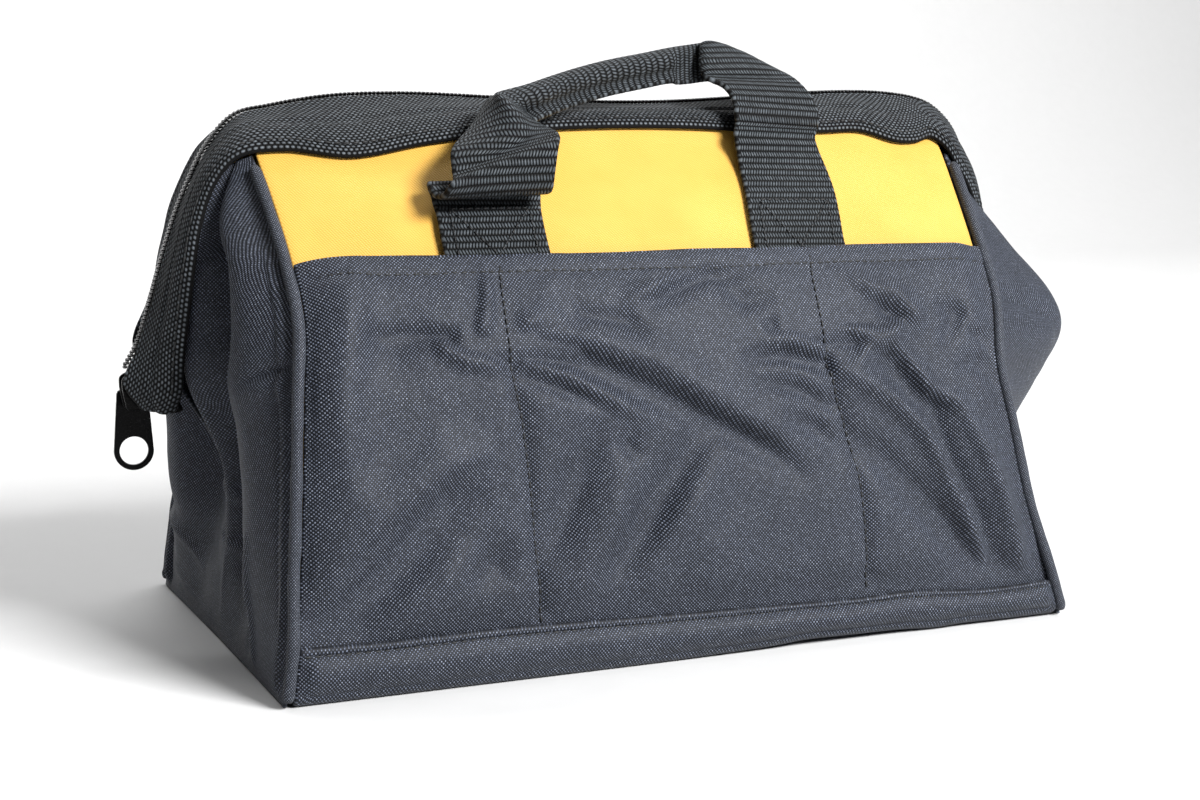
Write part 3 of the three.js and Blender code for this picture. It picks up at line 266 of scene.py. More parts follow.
# creases of the end panels in side elevation: line of (y, z), half width, height
LEFT_CREASES = (
    (((88, 42), (74, 37), (56, 33), (38, 26), (25, 18)), 2.2, (0, 1.1, 1.4, 1.2, 0)),
    (((80, 50), (52, 38), (18, 29), (-14, 21)), 6, (0, -1.2, -1.2, 0)),
    (((14, 61), (1, 55), (-14, 50)), 2.2, (0.6, 1.4, 1)),
    (((-24, 89), (-20, 73), (-16, 55), (-11, 39)), 2.6, (1.6, 2.4, 2.4, 0.8)),
    (((-9, 86), (-6, 70), (-3, 53)), 3.8, (-1.8, -2.6, -1)),
    (((9, 40), (-12, 34), (-33, 29), (-49, 27)), 2.4, (0.6, 1.7, 1.9, 1)),
    (((4, 33), (-18, 28), (-42, 23)), 4.2, (0, -1.6, 0)),
    (((-53, 48), (-50, 34), (-52, 20), (-52, 3)), 2.4, (0.8, 1.8, 1.8, 0.8)),
    (((-39, 23), (-39, 11), (-43, 2)), 3.8, (-0.6, -1.4, -0.6)),
    (((-54, 100), (-60, 105), (-66, 107)), 2.2, (-0.6, -2, -2.4)),
    (((-50, 96), (-58, 99), (-66, 100)), 2.6, (0.6, 1.6, 1.2)),
    (((80, 21), (51, 12), (16, 4)), 3, (0, 1.2, 0.6)),
)
RIGHT_CREASES = (
    (((-41, 92), (-47, 108), (-56, 118), (-62, 123)), 3.2, (-1, -3, -3.4, -2)),
    (((-43, 127), (-49, 124), (-61, 123)), 3, (0, 1.6, 1)),
    (((-50, 84), (-58, 90), (-70, 96)), 5, (0, -2, -1)),
    (((-20, 120), (-30, 100), (-36, 76)), 7, (0, 1.8, 0)),
)


# ---------------------------------------------------------------- small helpers
def ramp(a, b, v):
    s = np.clip((np.asarray(v, float) - a) / (b - a), 0, 1)
    return s * s * (3 - 2 * s)


def bump(v, mid, wide):
    s = (np.asarray(v, float) - mid) / wide
    return np.where(np.abs(s) >= 1, 0, (1 - s * s) ** 2)


def larger(a, b, soft):
    """Rounded maximum of two heights."""
    return 0.5 * (a + b + np.sqrt((a - b) ** 2 + soft * soft))


def read(rows, col, at):
    """Smooth value of a table's column at a place along its first column."""
    k, v, at = rows[:, 0], rows[:, col], np.asarray(at, float)
    n = len(k) - 1
    i = np.minimum(np.searchsorted(k[1:], at, side="left"), n - 1)
    lo, hi = np.maximum(np.arange(n + 1) - 1, 0), np.minimum(np.arange(n + 1) + 1, n)
    m = (v[hi] - v[lo]) / (k[hi] - k[lo])
    d = k[i + 1] - k[i]
    s = np.clip((at - k[i]) / d, 0, 1)
    s2, s3 = s * s, s * s * s
    return (2 * s3 - 3 * s2 + 1) * v[i] + (s3 - 2 * s2 + s) * d * m[i] + (3 * s2 - 2 * s3) * v[i + 1] + (s3 - s2) * d * m[i + 1]


def unit(v):
    return v / np.maximum(np.linalg.norm(v, axis=-1, keepdims=True), 1e-12)


class Curve:
    """The same centripetal Catmull-Rom curve that the CAD uses."""

    def __init__(self, points):
        self.p = np.asarray(points, float)

    def at(self, t):
        p, t = self.p, np.clip(np.atleast_1d(np.asarray(t, float)), 0, 1)
        n = len(p)
        ext = np.vstack([2 * p[0] - p[1], p, 2 * p[-1] - p[-2]])
        x = t * (n - 1)
        i = np.minimum(x.astype(int), n - 2)
        w = (x - i)[:, None]
        p0, p1, p2, p3 = (ext[i + k] for k in range(4))
        d0, d1, d2 = (np.maximum(((b - a) ** 2).sum(1) ** 0.25, 1e-9)[:, None] for a, b in ((p0, p1), (p1, p2), (p2, p3)))
        d1 = np.where(d1 < 1e-4, 1.0, d1)
        d0, d2 = np.where(d0 < 1e-4, d1, d0), np.where(d2 < 1e-4, d1, d2)
        t1 = ((p1 - p0) / d0 - (p2 - p0) / (d0 + d1) + (p2 - p1) / d1) * d1
        t2 = ((p2 - p1) / d1 - (p3 - p1) / (d1 + d2) + (p3 - p2) / d2) * d1
        return p1 + t1 * w + (3 * p2 - 3 * p1 - 2 * t1 - t2) * w**2 + (2 * p1 - 2 * p2 + t1 + t2) * w**3

    def tangent(self, t):
        t = np.atleast_1d(np.asarray(t, float))
        return unit(self.at(t + 1e-4) - self.at(t - 1e-4))


def length_along(points):
    return np.concatenate([[0], np.cumsum(np.linalg.norm(np.diff(points, axis=0), axis=1))])


def even(points, step):
    """Points of a polyline again, evenly spaced."""
    s = length_along(points)
    n = max(2, int(round(s[-1] / step)) + 1)
    t = np.linspace(0, s[-1], n)
    return np.stack([np.interp(t, s, points[:, k]) for k in range(3)], 1)


def folds_at(x, z, folds, scale=1.0):
    """Sum of the folds of a table at places (x, z)."""
    out = np.zeros_like(x)
    for line, wide, high, *skew in folds:
        q = np.asarray(line, float)
        skew = skew[0] if skew else 0.0
        best, tall, turn = np.full(x.shape, 1e9), np.zeros_like(x), np.zeros_like(x)
        for k in range(len(q) - 1):
            d = q[k + 1] - q[k]
            s = np.clip(((x - q[k, 0]) * d[0] + (z - q[k, 1]) * d[1]) / (d @ d), 0, 1)
            r = np.hypot(x - q[k, 0] - s * d[0], z - q[k, 1] - s * d[1])
            near = r < best
            best = np.where(near, r, best)
            tall = np.where(near, high[k] + s * (high[k + 1] - high[k]), tall)
            over = (d[0] * (z - q[k, 1]) - d[1] * (x - q[k, 0])) / math.hypot(*d)
            turn = np.where(near, over / np.maximum(r, 1e-6), turn)
        far = best / (0.95 * wide * (1 + skew * turn))
        out += scale * tall * np.exp(-(far ** np.where(tall > 0, 1.6, 2.0)))
    return out


def ripple(x, z, size, seed):
    """Quiet unevenness between -1 and 1, the same on every run."""
    rng = np.random.RandomState(seed)
    out = np.zeros_like(np.asarray(x, float))
    for _ in range(9):
        a, k, p = rng.uniform(0, math.pi), rng.uniform(0.6, 1.7) * 2 * math.pi / size, rng.uniform(0, 6.28)
        out = out + np.sin(k * (x * math.cos(a) + z * math.sin(a)) + p)
    return out / 5.0


# ---------------------------------------------------------------- mesh makers
def piece(name, verts, faces, mat, body="bag", uv=None, smooth=True):
    me = bpy.data.meshes.new(name)
    me.from_pydata((np.asarray(verts) * MM).tolist(), [], faces)
    me.validate()
    if uv is not None:
        layer = me.uv_layers.new(name="weave")
        index = np.empty(len(me.loops), int)
        me.loops.foreach_get("vertex_index", index)
        layer.data.foreach_set("uv", np.asarray(uv, float)[index].ravel())
    me.polygons.foreach_set("use_smooth", np.full(len(me.polygons), smooth))
    me.materials.append(mat)
    me.update()
    ob = bpy.data.objects.new(name, me)
    bpy.context.scene.collection.objects.link(ob)
    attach(ob, body)
    return ob


def wall(points, quads, uv, thick, away=None, rim=3):
    """Closed cloth of the given thickness about a sheet, with a rounded edge."""
    p, q, uv = np.asarray(points, float), np.asarray(quads, int), np.asarray(uv, float)
    n = len(p)
    fn = np.cross(p[q[:, 2]] - p[q[:, 0]], p[q[:, 3]] - p[q[:, 1]])
    if away is not None and ((p[q].mean(1) - np.asarray(away)) * fn).sum() < 0:
        q, fn = q[:, ::-1], -fn
    nor = np.zeros_like(p)
    for k in range(4):
        np.add.at(nor, q[:, k], fn)
    nor = unit(nor)
    e = np.concatenate([q[:, [k, (k + 1) % 4]] for k in range(4)])
    e = e[~np.isin(e[:, 0] * n + e[:, 1], e[:, 1] * n + e[:, 0])]
    side = np.cross(unit(p[e[:, 1]] - p[e[:, 0]]), nor[e[:, 0]] + nor[e[:, 1]])
    out = np.zeros_like(p)
    np.add.at(out, e[:, 0], side)
    np.add.at(out, e[:, 1], side)
    b = np.unique(e)
    out = unit(out)
    t = np.broadcast_to(np.asarray(thick, float) / 2, (n,))[:, None]
    verts, uvs = [p + nor * t, p - nor * t], [uv, uv]
    place = np.full(n, -1)
    place[b] = np.arange(len(b))
    for k in range(rim):
        a = math.pi / 2 - math.pi * (k + 1) / (rim + 1)
        verts.append(p[b] + t[b] * (math.cos(a) * out[b] + math.sin(a) * nor[b]))
        uvs.append(uv[b] + 0.0)
    faces = [q, q[:, ::-1] + n]
    rows = [lambda i: i] + [lambda i, k=k: 2 * n + k * len(b) + place[i] for k in range(rim)] + [lambda i: i + n]
    for lo, hi in zip(rows, rows[1:]):
        faces.append(np.stack([lo(e[:, 1]), lo(e[:, 0]), hi(e[:, 0]), hi(e[:, 1])], 1))
    return np.concatenate(verts), np.concatenate(faces).tolist(), np.concatenate(uvs), nor


def grid_quads(nu, nv):
    k = (np.arange(nv)[:, None] * (nu + 1) + np.arange(nu)[None, :]).ravel()
    return np.stack([k, k + 1, k + nu + 2, k + nu + 1], 1)


def grid_wall(p, uv, thick, away=None, rim=3):
    nv, nu = p.shape[0] - 1, p.shape[1] - 1
    th = thick if np.isscalar(thick) else np.asarray(thick).ravel()
    return wall(p.reshape(-1, 3), grid_quads(nu, nv), uv.reshape(-1, 2), th, away, rim)


def area_of(p):
    """Area of a grid of points, in square metres."""
    a, b, c, d = p[:-1, :-1], p[:-1, 1:], p[1:, 1:], p[1:, :-1]
    return float(np.linalg.norm(np.cross(c - a, d - b), axis=-1).sum() / 2) * 1e-6


def tube(points, radius, sides, closed_ends=True, squash=None):
    """Round cord along a polyline; radius may vary along it."""
    p = np.asarray(points, float)
    n = len(p)
    r = np.broadcast_to(np.asarray(radius, float), (n,))
    t = unit(np.gradient(p, axis=0))
    ref = np.array([0, 0, 1.0]) if abs(t[0, 2]) < 0.8 else np.array([0, 1.0, 0])
    frames = []
    x = unit(np.cross(t[0], ref))
    for k in range(n):
        x = unit(x - t[k] * (x @ t[k]))
        frames.append((x, np.cross(t[k], x)))
    a = np.arange(sides) * 2 * math.pi / sides
    verts, uv = [], []
    s = length_along(p)
    for k in range(n):
        x, y = frames[k]
        verts.append(p[k] + r[k] * (np.cos(a)[:, None] * x + np.sin(a)[:, None] * y))
        uv.append(np.stack([a * r.max(), np.full(sides, s[k])], 1))
    verts, uv = np.concatenate(verts), np.concatenate(uv)
    faces = []
    for k in range(n - 1):
        for i in range(sides):
            j = (i + 1) % sides
            faces.append((k * sides + i, k * sides + j, (k + 1) * sides + j, (k + 1) * sides + i))
    if closed_ends:
        faces.append(tuple(range(sides))[::-1])
        faces.append(tuple(range((n - 1) * sides, n * sides)))
    return verts, faces, uv


def grains(centres, along, normal, long, radius, sides=6, lift=0.0):
    """Many small thread ends or coil turns, each a closed rounded grain."""
    c, t, n = np.asarray(centres, float), unit(np.asarray(along, float)), unit(np.asarray(normal, float))
    n = unit(n - t * (n * t).sum(1, keepdims=True))
    b = np.cross(t, n)
    prof = [(-0.5, 0.0), (-0.42, 0.62), (-0.2, 1.0), (0.2, 1.0), (0.42, 0.62), (0.5, 0.0)]
    a = np.arange(sides) * 2 * math.pi / sides
    per, faces = [], []
    for f, r in prof:
        mid = c + t * (f * long) + n * (lift * (1 - (2 * f) ** 2))
        if r == 0:
            per.append(mid[:, None, :])
        else:
            per.append(mid[:, None, :] + radius * r * (np.cos(a)[None, :, None] * n[:, None, :] + np.sin(a)[None, :, None] * b[:, None, :]))
    verts = np.concatenate(per, 1)
    m = verts.shape[1]
    local = []
    rings = len(prof) - 2
    for i in range(sides):
        j = (i + 1) % sides
        local.append((0, 1 + j, 1 + i))
        for k in range(rings - 1):
            local.append((1 + k * sides + i, 1 + k * sides + j, 1 + (k + 1) * sides + j, 1 + (k + 1) * sides + i))
        local.append((m - 1, 1 + (rings - 1) * sides + i, 1 + (rings - 1) * sides + j))
    for g in range(len(c)):
        faces.extend(tuple(v + g * m for v in f) for f in local)
    return verts.reshape(-1, 3), faces


def join(parts):
    verts, faces, n = [], [], 0
    for v, f in parts:
        verts.append(v)
        faces.extend(tuple(i + n for i in q) for q in f)
        n += len(v)
    return np.concatenate(verts), faces


def stitches(name, line, normal, mat, pitch=3.3, long=2.5, radius=0.38, lift=0.12):
    """Running stitches along lines that lie on the cloth."""
    lines = line if isinstance(line, list) else [line]
    normals = normal if isinstance(normal, list) else [normal]
    cs, ts, ns = [], [], []
    for p, nr in zip(lines, normals):
        p, nr = np.asarray(p, float), np.broadcast_to(np.asarray(nr, float), np.shape(p))
        s = length_along(p)
        at = np.arange(pitch * 0.6, s[-1] - pitch * 0.4, pitch)
        c = np.stack([np.interp(at, s, p[:, k]) for k in range(3)], 1)
        f = np.stack([np.interp(at + 0.4, s, p[:, k]) for k in range(3)], 1)
        g = np.stack([np.interp(at - 0.4, s, p[:, k]) for k in range(3)], 1)
        cs.append(c)
        ts.append(f - g)
        ns.append(np.stack([np.interp(at, s, nr[:, k]) for k in range(3)], 1))
    v, f = grains(np.concatenate(cs), np.concatenate(ts), np.concatenate(ns), long, radius, lift=lift)
    ob = piece(name, v, f, mat)
    return ob


# ---------------------------------------------------------------- materials
class Shade:
    def __init__(self, name):
        self.mat = bpy.data.materials.new(name)
        self.mat.use_nodes = True
        self.t = self.mat.node_tree
        self.t.nodes.clear()
        self.out = self.t.nodes.new("ShaderNodeOutputMaterial")
        self.bsdf = self.t.nodes.new("ShaderNodeBsdfPrincipled")
        self.t.links.new(self.bsdf.outputs[0], self.out.inputs[0])

    def put(self, socket, value):
        if isinstance(value, bpy.types.NodeSocket):
            self.t.links.new(value, socket)
        else:
            socket.default_value = value

    def shader(self, **values):
        for name, value in values.items():
            self.put(self.bsdf.inputs[name.replace("_", " ")], value)

    def math(self, op, a, b=None, c=None):
        n = self.t.nodes.new("ShaderNodeMath")
        n.operation = op
        for i, v in enumerate((a, b, c)):
            if v is not None:
                self.put(n.inputs[i], v)
        return n.outputs[0]

    def uv(self):
        n = self.t.nodes.new("ShaderNodeUVMap")
        n.uv_map = "weave"
        s = self.t.nodes.new("ShaderNodeSeparateXYZ")
        self.t.links.new(n.outputs[0], s.inputs[0])
        return s.outputs[0], s.outputs[1]

    def vector(self, x, y, z=0.0):
        n = self.t.nodes.new("ShaderNodeCombineXYZ")
        for i, v in enumerate((x, y, z)):
            self.put(n.inputs[i], v)
        return n.outputs[0]

    def place(self):
        n = self.t.nodes.new("ShaderNodeTexCoord")
        return n.outputs["Object"]

    def noise(self, vec, scale, detail=2.0, rough=0.5):
        n = self.t.nodes.new("ShaderNodeTexNoise")
        self.put(n.inputs["Vector"], vec)
        n.inputs["Scale"].default_value = scale
        n.inputs["Detail"].default_value = detail
        n.inputs["Roughness"].default_value = rough
        return n.outputs[0]

    def chance(self, x, y):
        """One random number for each cell."""
        n = self.t.nodes.new("ShaderNodeTexWhiteNoise")
        n.noise_dimensions = "2D"
        self.put(n.inputs["Vector"], self.vector(self.math("FLOOR", x), self.math("FLOOR", y)))
        return n.outputs[0]

    def map(self, v, a, b, c, d):
        n = self.t.nodes.new("ShaderNodeMapRange")
        n.clamp = True
        self.put(n.inputs[0], v)
        for i, k in enumerate((a, b, c, d)):
            n.inputs[i + 1].default_value = k
        return n.outputs[0]

    def mix(self, f, a, b):
        n = self.t.nodes.new("ShaderNodeMix")
        n.data_type = "RGBA"
        self.put(n.inputs[0], f)
        self.put(n.inputs[6], a)
        self.put(n.inputs[7], b)
        return n.outputs[2]

    def scale_colour(self, colour, by):
        n = self.t.nodes.new("ShaderNodeVectorMath")
        n.operation = "SCALE"
        self.put(n.inputs[0], colour)
        self.put(n.inputs["Scale"], by)
        return n.outputs[0]

    def bump(self, height, distance, strength=1.0):
        n = self.t.nodes.new("ShaderNodeBump")
        n.inputs["Strength"].default_value = strength
        n.inputs["Distance"].default_value = distance
        self.put(n.inputs["Height"], height)
        self.t.links.new(n.outputs[0], self.bsdf.inputs["Normal"])


def rgb(r, g, b):
    """Linear colour of a screen colour."""
    return tuple((c / 12.92 if c <= 0.04045 else ((c + 0.055) / 1.055) ** 2.4) for c in (r / 255, g / 255, b / 255)) + (1.0,)


def canvas(name, dark, light, painted_glint_colour, cell=0.64, glint=0.8):
    """Oxford weave: staggered thread crossings, some catching the light."""
    s = Shade(name)
    u, v = s.uv()
    wob = s.math("MULTIPLY", s.math("SUBTRACT", s.noise(s.vector(s.math("MULTIPLY", u, 0.12), s.math("MULTIPLY", v, 0.12)), 1.0), 0.5), 0.9)
    u, v = s.math("ADD", u, wob), s.math("SUBTRACT", v, wob)
    cu, cv = s.math("DIVIDE", u, cell), s.math("DIVIDE", v, cell)
    dots = s.math("MULTIPLY", s.math("SINE", s.math("MULTIPLY", cu, math.pi)), s.math("SINE", s.math("MULTIPLY", cv, math.pi)))
    h = s.map(dots, 0.0, 0.85, 0.0, 1.0)
    strand = s.chance(cu, cv)
    col = s.mix(s.math("MULTIPLY", h, s.math("ADD", s.math("MULTIPLY", strand, 0.55), 0.45)), dark, light)
    # painted glints: a few random thread crossings are lit up in the base colour, as painted highlights
    painted_glint = s.math("MULTIPLY", s.map(s.chance(s.math("ADD", cu, 91.0), s.math("ADD", cv, 17.0)), glint, 1.0, 0.0, 1.0), s.map(dots, 0.35, 0.9, 0.0, 1.0))
    col = s.mix(s.math("MULTIPLY", painted_glint, 0.55), col, painted_glint_colour)
    cloud = s.map(s.noise(s.vector(s.math("MULTIPLY", u, 0.03), s.math("MULTIPLY", v, 0.03)), 1.0, 3.0), 0.3, 0.7, 0.92, 1.08)
    s.shader(Base_Color=s.scale_colour(col, cloud), Roughness=s.map(h, 0, 1, 0.6, 0.5))
    s.bsdf.inputs["Specular IOR Level"].default_value = 0.24
    s.bsdf.inputs["Sheen Weight"].default_value = 0.03
    s.bsdf.inputs["Sheen Roughness"].default_value = 0.45
    s.bump(h, 0.0002)
    return s.mat


def twill(name, dark, light):
    """Fine diagonal twill of the yellow panels."""
    s = Shade(name)
    u, v = s.uv()
    d = s.math("ADD", u, s.math("MULTIPLY", v, 0.62))
    fine = s.map(s.math("SINE", s.math("MULTIPLY", d, 2 * math.pi / 1.05)), -1, 1, 0, 1)
    cross = s.map(s.math("SINE", s.math("MULTIPLY", s.math("SUBTRACT", v, s.math("MULTIPLY", u, 0.3)), 2 * math.pi / 0.8)), -1, 1, 0, 1)
    h = s.math("ADD", s.math("MULTIPLY", fine, 0.65), s.math("MULTIPLY", cross, 0.35))
    cloud = s.noise(s.vector(s.math("MULTIPLY", u, 0.035), s.math("MULTIPLY", v, 0.035)), 1.0, 3.0)
    col = s.mix(s.math("ADD", s.math("MULTIPLY", h, 0.6), s.math("MULTIPLY", cloud, 0.4)), dark, light)
    s.shader(Base_Color=col, Roughness=s.map(h, 0, 1, 0.68, 0.5))
    s.bsdf.inputs["Specular IOR Level"].default_value = 0.35
    s.bsdf.inputs["Sheen Weight"].default_value = 0.08
    s.bump(h, 0.00014)
    return s.mat


def dashes(name, dark, mid, light, long, wide, lean=0.0):
    """Coarse tape weave: short raised dashes, every other row offset, with painted highlights on the dash tops."""
    s = Shade(name)
    u, v = s.uv()
    row = s.math("DIVIDE", u, wide)
    odd = s.math("MODULO", s.math("FLOOR", s.math("ADD", row, 1000.0)), 2.0)
    along = s.math("ADD", s.math("ADD", s.math("DIVIDE", v, long), s.math("MULTIPLY", odd, 0.5)), s.math("MULTIPLY", s.math("FRACT", row), lean))
    a = s.math("ABSOLUTE", s.math("SINE", s.math("MULTIPLY", along, math.pi)))
    b = s.math("ABSOLUTE", s.math("SINE", s.math("MULTIPLY", row, math.pi)))
    h = s.math("MULTIPLY", s.math("POWER", a, 0.55), s.math("POWER", b, 0.55))
    tone = s.map(s.chance(along, row), 0, 1, 0.55, 1)
    col = s.mix(s.map(h, 0.1, 0.6, 0, 1), dark, mid)
    # painted highlights: the tops of the raised dashes are lit up in the base colour; the dashes and bump are the real
    # weave
    col = s.mix(s.math("MULTIPLY", s.map(h, 0.6, 1.0, 0, 1), tone), col, light)
    fibre = s.map(s.noise(s.vector(s.math("MULTIPLY", u, 2.2), s.math("MULTIPLY", v, 0.7)), 1.0, 3.0), 0.3, 0.7, 0.8, 1.2)
    s.shader(Base_Color=s.scale_colour(col, fibre), Roughness=s.map(h, 0, 1, 0.75, 0.5))
    s.bsdf.inputs["Specular IOR Level"].default_value = 0.14
    s.bsdf.inputs["Sheen Weight"].default_value = 0.02
    s.bump(h, 0.0004)
    return s.mat


def webbing(name, dark, mid, light):
    """Belt webbing: rows across the width, made of leaning strands."""
    s = Shade(name)
    u, v = s.uv()
    row = s.math("DIVIDE", v, 2.7)
    part = s.math("FRACT", row)
    odd = s.math("SUBTRACT", s.math("MULTIPLY", s.math("MODULO", s.math("FLOOR", s.math("ADD", row, 1000.0)), 2.0), 2.0), 1.0)
    strand = s.math("ADD", s.math("DIVIDE", u, 1.15), s.math("MULTIPLY", s.math("MULTIPLY", part, odd), 0.55))
    a = s.math("ABSOLUTE", s.math("SINE", s.math("MULTIPLY", strand, math.pi)))
    b = s.math("ABSOLUTE", s.math("SINE", s.math("MULTIPLY", row, math.pi)))
    h = s.math("MULTIPLY", s.math("POWER", a, 0.5), s.math("POWER", b, 0.4))
    tone = s.map(s.chance(strand, row), 0, 1, 0.6, 1)
    col = s.mix(s.map(h, 0.1, 0.6, 0, 1), dark, mid)
    col = s.mix(s.math("MULTIPLY", s.map(h, 0.6, 1.0, 0, 1), tone), col, light)
    fibre = s.map(s.noise(s.vector(s.math("MULTIPLY", u, 2.5), s.math("MULTIPLY", v, 1.2)), 1.0, 3.0), 0.3, 0.7, 0.8, 1.2)
    s.shader(Base_Color=s.scale_colour(col, fibre), Roughness=s.map(h, 0, 1, 0.75, 0.48))
    s.bsdf.inputs["Specular IOR Level"].default_value = 0.14
    s.bsdf.inputs["Sheen Weight"].default_value = 0.02
    s.bump(h, 0.0004)
    return s.mat


def thread(name, colour, light):
    s = Shade(name)
    n = s.noise(s.place(), 900.0, 2.0)
    s.shader(Base_Color=s.mix(s.map(n, 0.35, 0.7, 0, 1), colour, light), Roughness=s.map(n, 0.3, 0.7, 0.5, 0.7))
    s.bump(n, 0.0001)
    return s.mat


def nylon(name, colour, light):
    s = Shade(name)
    n = s.noise(s.place(), 420.0, 2.0)
    s.shader(Base_Color=s.mix(s.map(n, 0.35, 0.7, 0, 1), colour, light), Roughness=s.map(n, 0.3, 0.7, 0.13, 0.25))
    s.bsdf.inputs["Specular IOR Level"].default_value = 0.7
    return s.mat


def enamel(name, colour, worn):
    """Black coated metal with faint scuffs."""
    s = Shade(name)
    n = s.noise(s.place(), 160.0, 4.0, 0.6)
    fine = s.noise(s.place(), 1400.0, 3.0, 0.6)
    s.shader(Base_Color=s.mix(s.map(n, 0.6, 0.8, 0, 0.5), colour, worn), Roughness=s.map(fine, 0.3, 0.7, 0.22, 0.36))
    s.bsdf.inputs["Specular IOR Level"].default_value = 0.08
    s.bump(fine, 0.00003)
    return s.mat


# the last colour given to each canvas is its painted glint colour
CHARCOAL = canvas("charcoal_canvas", rgb(18, 20, 26), rgb(112, 120, 138), rgb(170, 178, 194))
PIPING = canvas("charcoal_piping_canvas", rgb(27, 29, 35), rgb(120, 127, 142), rgb(176, 183, 196), cell=0.52)
YELLOW = twill("yellow_twill", rgb(188, 133, 31), rgb(222, 182, 90))
# the light colour of the zip tape is the painted highlight on its dash tops
BAND = dashes("black_zip_tape", rgb(2, 2, 3), rgb(6, 7, 8), rgb(102, 108, 114), 1.9, 1.05)
WEB = webbing("black_belt_webbing", rgb(2, 2, 3), rgb(5, 6, 7), rgb(84, 90, 95))
THREAD = thread("black_thread", rgb(8, 9, 11), rgb(24, 26, 29))
COIL = nylon("black_coil_nylon", rgb(5, 5, 6), rgb(15, 16, 17))
METAL = enamel("black_metal", rgb(2, 2, 3), rgb(9, 9, 10))


# ---------------------------------------------------------------- panels
def half(z, x):
    return np.where(np.asarray(x) < 0, read(SEAM, 1, z), read(SEAM, 2, z))


def depth(z):
    return read(SEAM, 3, z)


def crown(z):
    return read(SEAM, 4, z)


def lean(z):
    d = (depth(np.asarray(z) + 1.0) - depth(np.asarray(z) - 1.0)) / 2
    l = np.hypot(1, d)
    return 1 / l, -d / l


def on_panel(side, x, z, lift):
    x, z = np.broadcast_arrays(np.asarray(x, float), np.asarray(z, float))
    u = np.clip(x / half(z, x), -1, 1)
    out, up = lean(z)
    y = depth(z) + crown(z) * (1 - u * u) + lift * out
    return np.stack([x, side * y, z + lift * up], -1)


PROFILE_Z = np.linspace(0, 190, 400)
PROFILE_S = length_along(np.stack([np.zeros(400), depth(PROFILE_Z), PROFILE_Z], 1))


def up_cloth(z):
    """Distance up the cloth of a panel, from the ground."""
    return np.interp(z, PROFILE_Z, PROFILE_S)


def panel(side):
    nu, nv = 120, 72
    w = np.linspace(-1, 1, nu + 1)[None, :] * np.ones((nv + 1, 1))
    v = np.linspace(0, 1, nv + 1)[:, None]
    z = PANEL_BOTTOM + v * (read(BAND_TOP, 1, w * 136) + 1 - PANEL_BOTTOM)
    x = w * (half(z, w) - EDGE + 0.6)
    lift = 0.35 * ripple(x, z, 46, 3 + side) * ramp(142, 152, z) * ramp(1, 0.93, np.abs(w)) * ramp(1, 0.96, v)
    p = on_panel(side, x, z, lift)
    return p, np.stack([x, up_cloth(z)], -1)


def divider_pull(x, z):
    """How near a place is to a sewn divider, 1 on the stitching."""
    near = np.zeros_like(x)
    for d in (DIVIDER_LEFT, DIVIDER_RIGHT):
        near = np.maximum(near, np.exp(-(((x - read(d, 1, z)) / 4.2) ** 2)))
    return near


def pocket_lift(side, x, z, w):
    inner = np.where(w < 0, 1 - (1 - np.clip((1 + w) / 0.09, 0, 1)) ** 2, ramp(1, 0.9, w)) * ramp(17, 31, z)
    lift = POCKET_EDGE_LIFT + inner * (POCKET_LIFT - POCKET_EDGE_LIFT)
    soft = ramp(1, 0.975, np.abs(w)) * ramp(16, 23, z) * (1 - 0.75 * ramp(128, 137, z))
    if side < 0:
        lift = lift + 5.0 * np.tanh(folds_at(x, z, POCKET_FOLDS, 2.1) / 5.0) * soft
        lift = lift - 1.5 * divider_pull(x, z) * soft
        for d in (DIVIDER_LEFT, DIVIDER_RIGHT):
            lift = lift - 0.8 * np.exp(-(((x - read(d, 1, z)) / 1.2) ** 2)) * ramp(16, 20, z)
    else:
        lift = lift + folds_at(x, z, BACK_FOLDS) * soft
    lift = lift + soft * (0.22 * ripple(x, z, 24, 11 + side) + 0.10 * ripple(x, z, 9, 23 + side))
    # the stitching pulls the hem in
    lift = lift - 0.7 * np.exp(-(((z - 132.2) / 1.3) ** 2)) * ramp(1, 0.97, np.abs(w))
    leg = np.minimum(np.abs(x - HANDLE_X[0]), np.abs(x - HANDLE_X[1]))
    least = 1.8 + (POCKET_EDGE_LIFT - 1.8) * (1 - soft)
    need = least + (5.1 - least) * ramp(26, 20, leg) * ramp(HANDLE_FOOT - 10, HANDLE_FOOT - 2, z)
    return larger(lift, need, 0.5)


def pocket(side):
    nu, nv = (280, 130) if side < 0 else (150, 72)
    w = np.linspace(-1, 1, nu + 1)[None, :] * np.ones((nv + 1, 1))
    v = np.linspace(0, 1, nv + 1)[:, None] * np.ones((1, nu + 1))
    z = POCKET_BOTTOM + v * (POCKET_TOP - POCKET_BOTTOM)
    x = w * (half(z, w) - EDGE + 0.8)
    z = z + 0.5 * ripple(x, 0 * z, 70, 5) * ramp(0.9, 1, v)
    p = on_panel(side, x, z, pocket_lift(side, x, z, w))
    hem = 1 + 0.55 * ramp(131.2, 132.6, z)
    return p, np.stack([x, up_cloth(z)], -1), CLOTH * hem


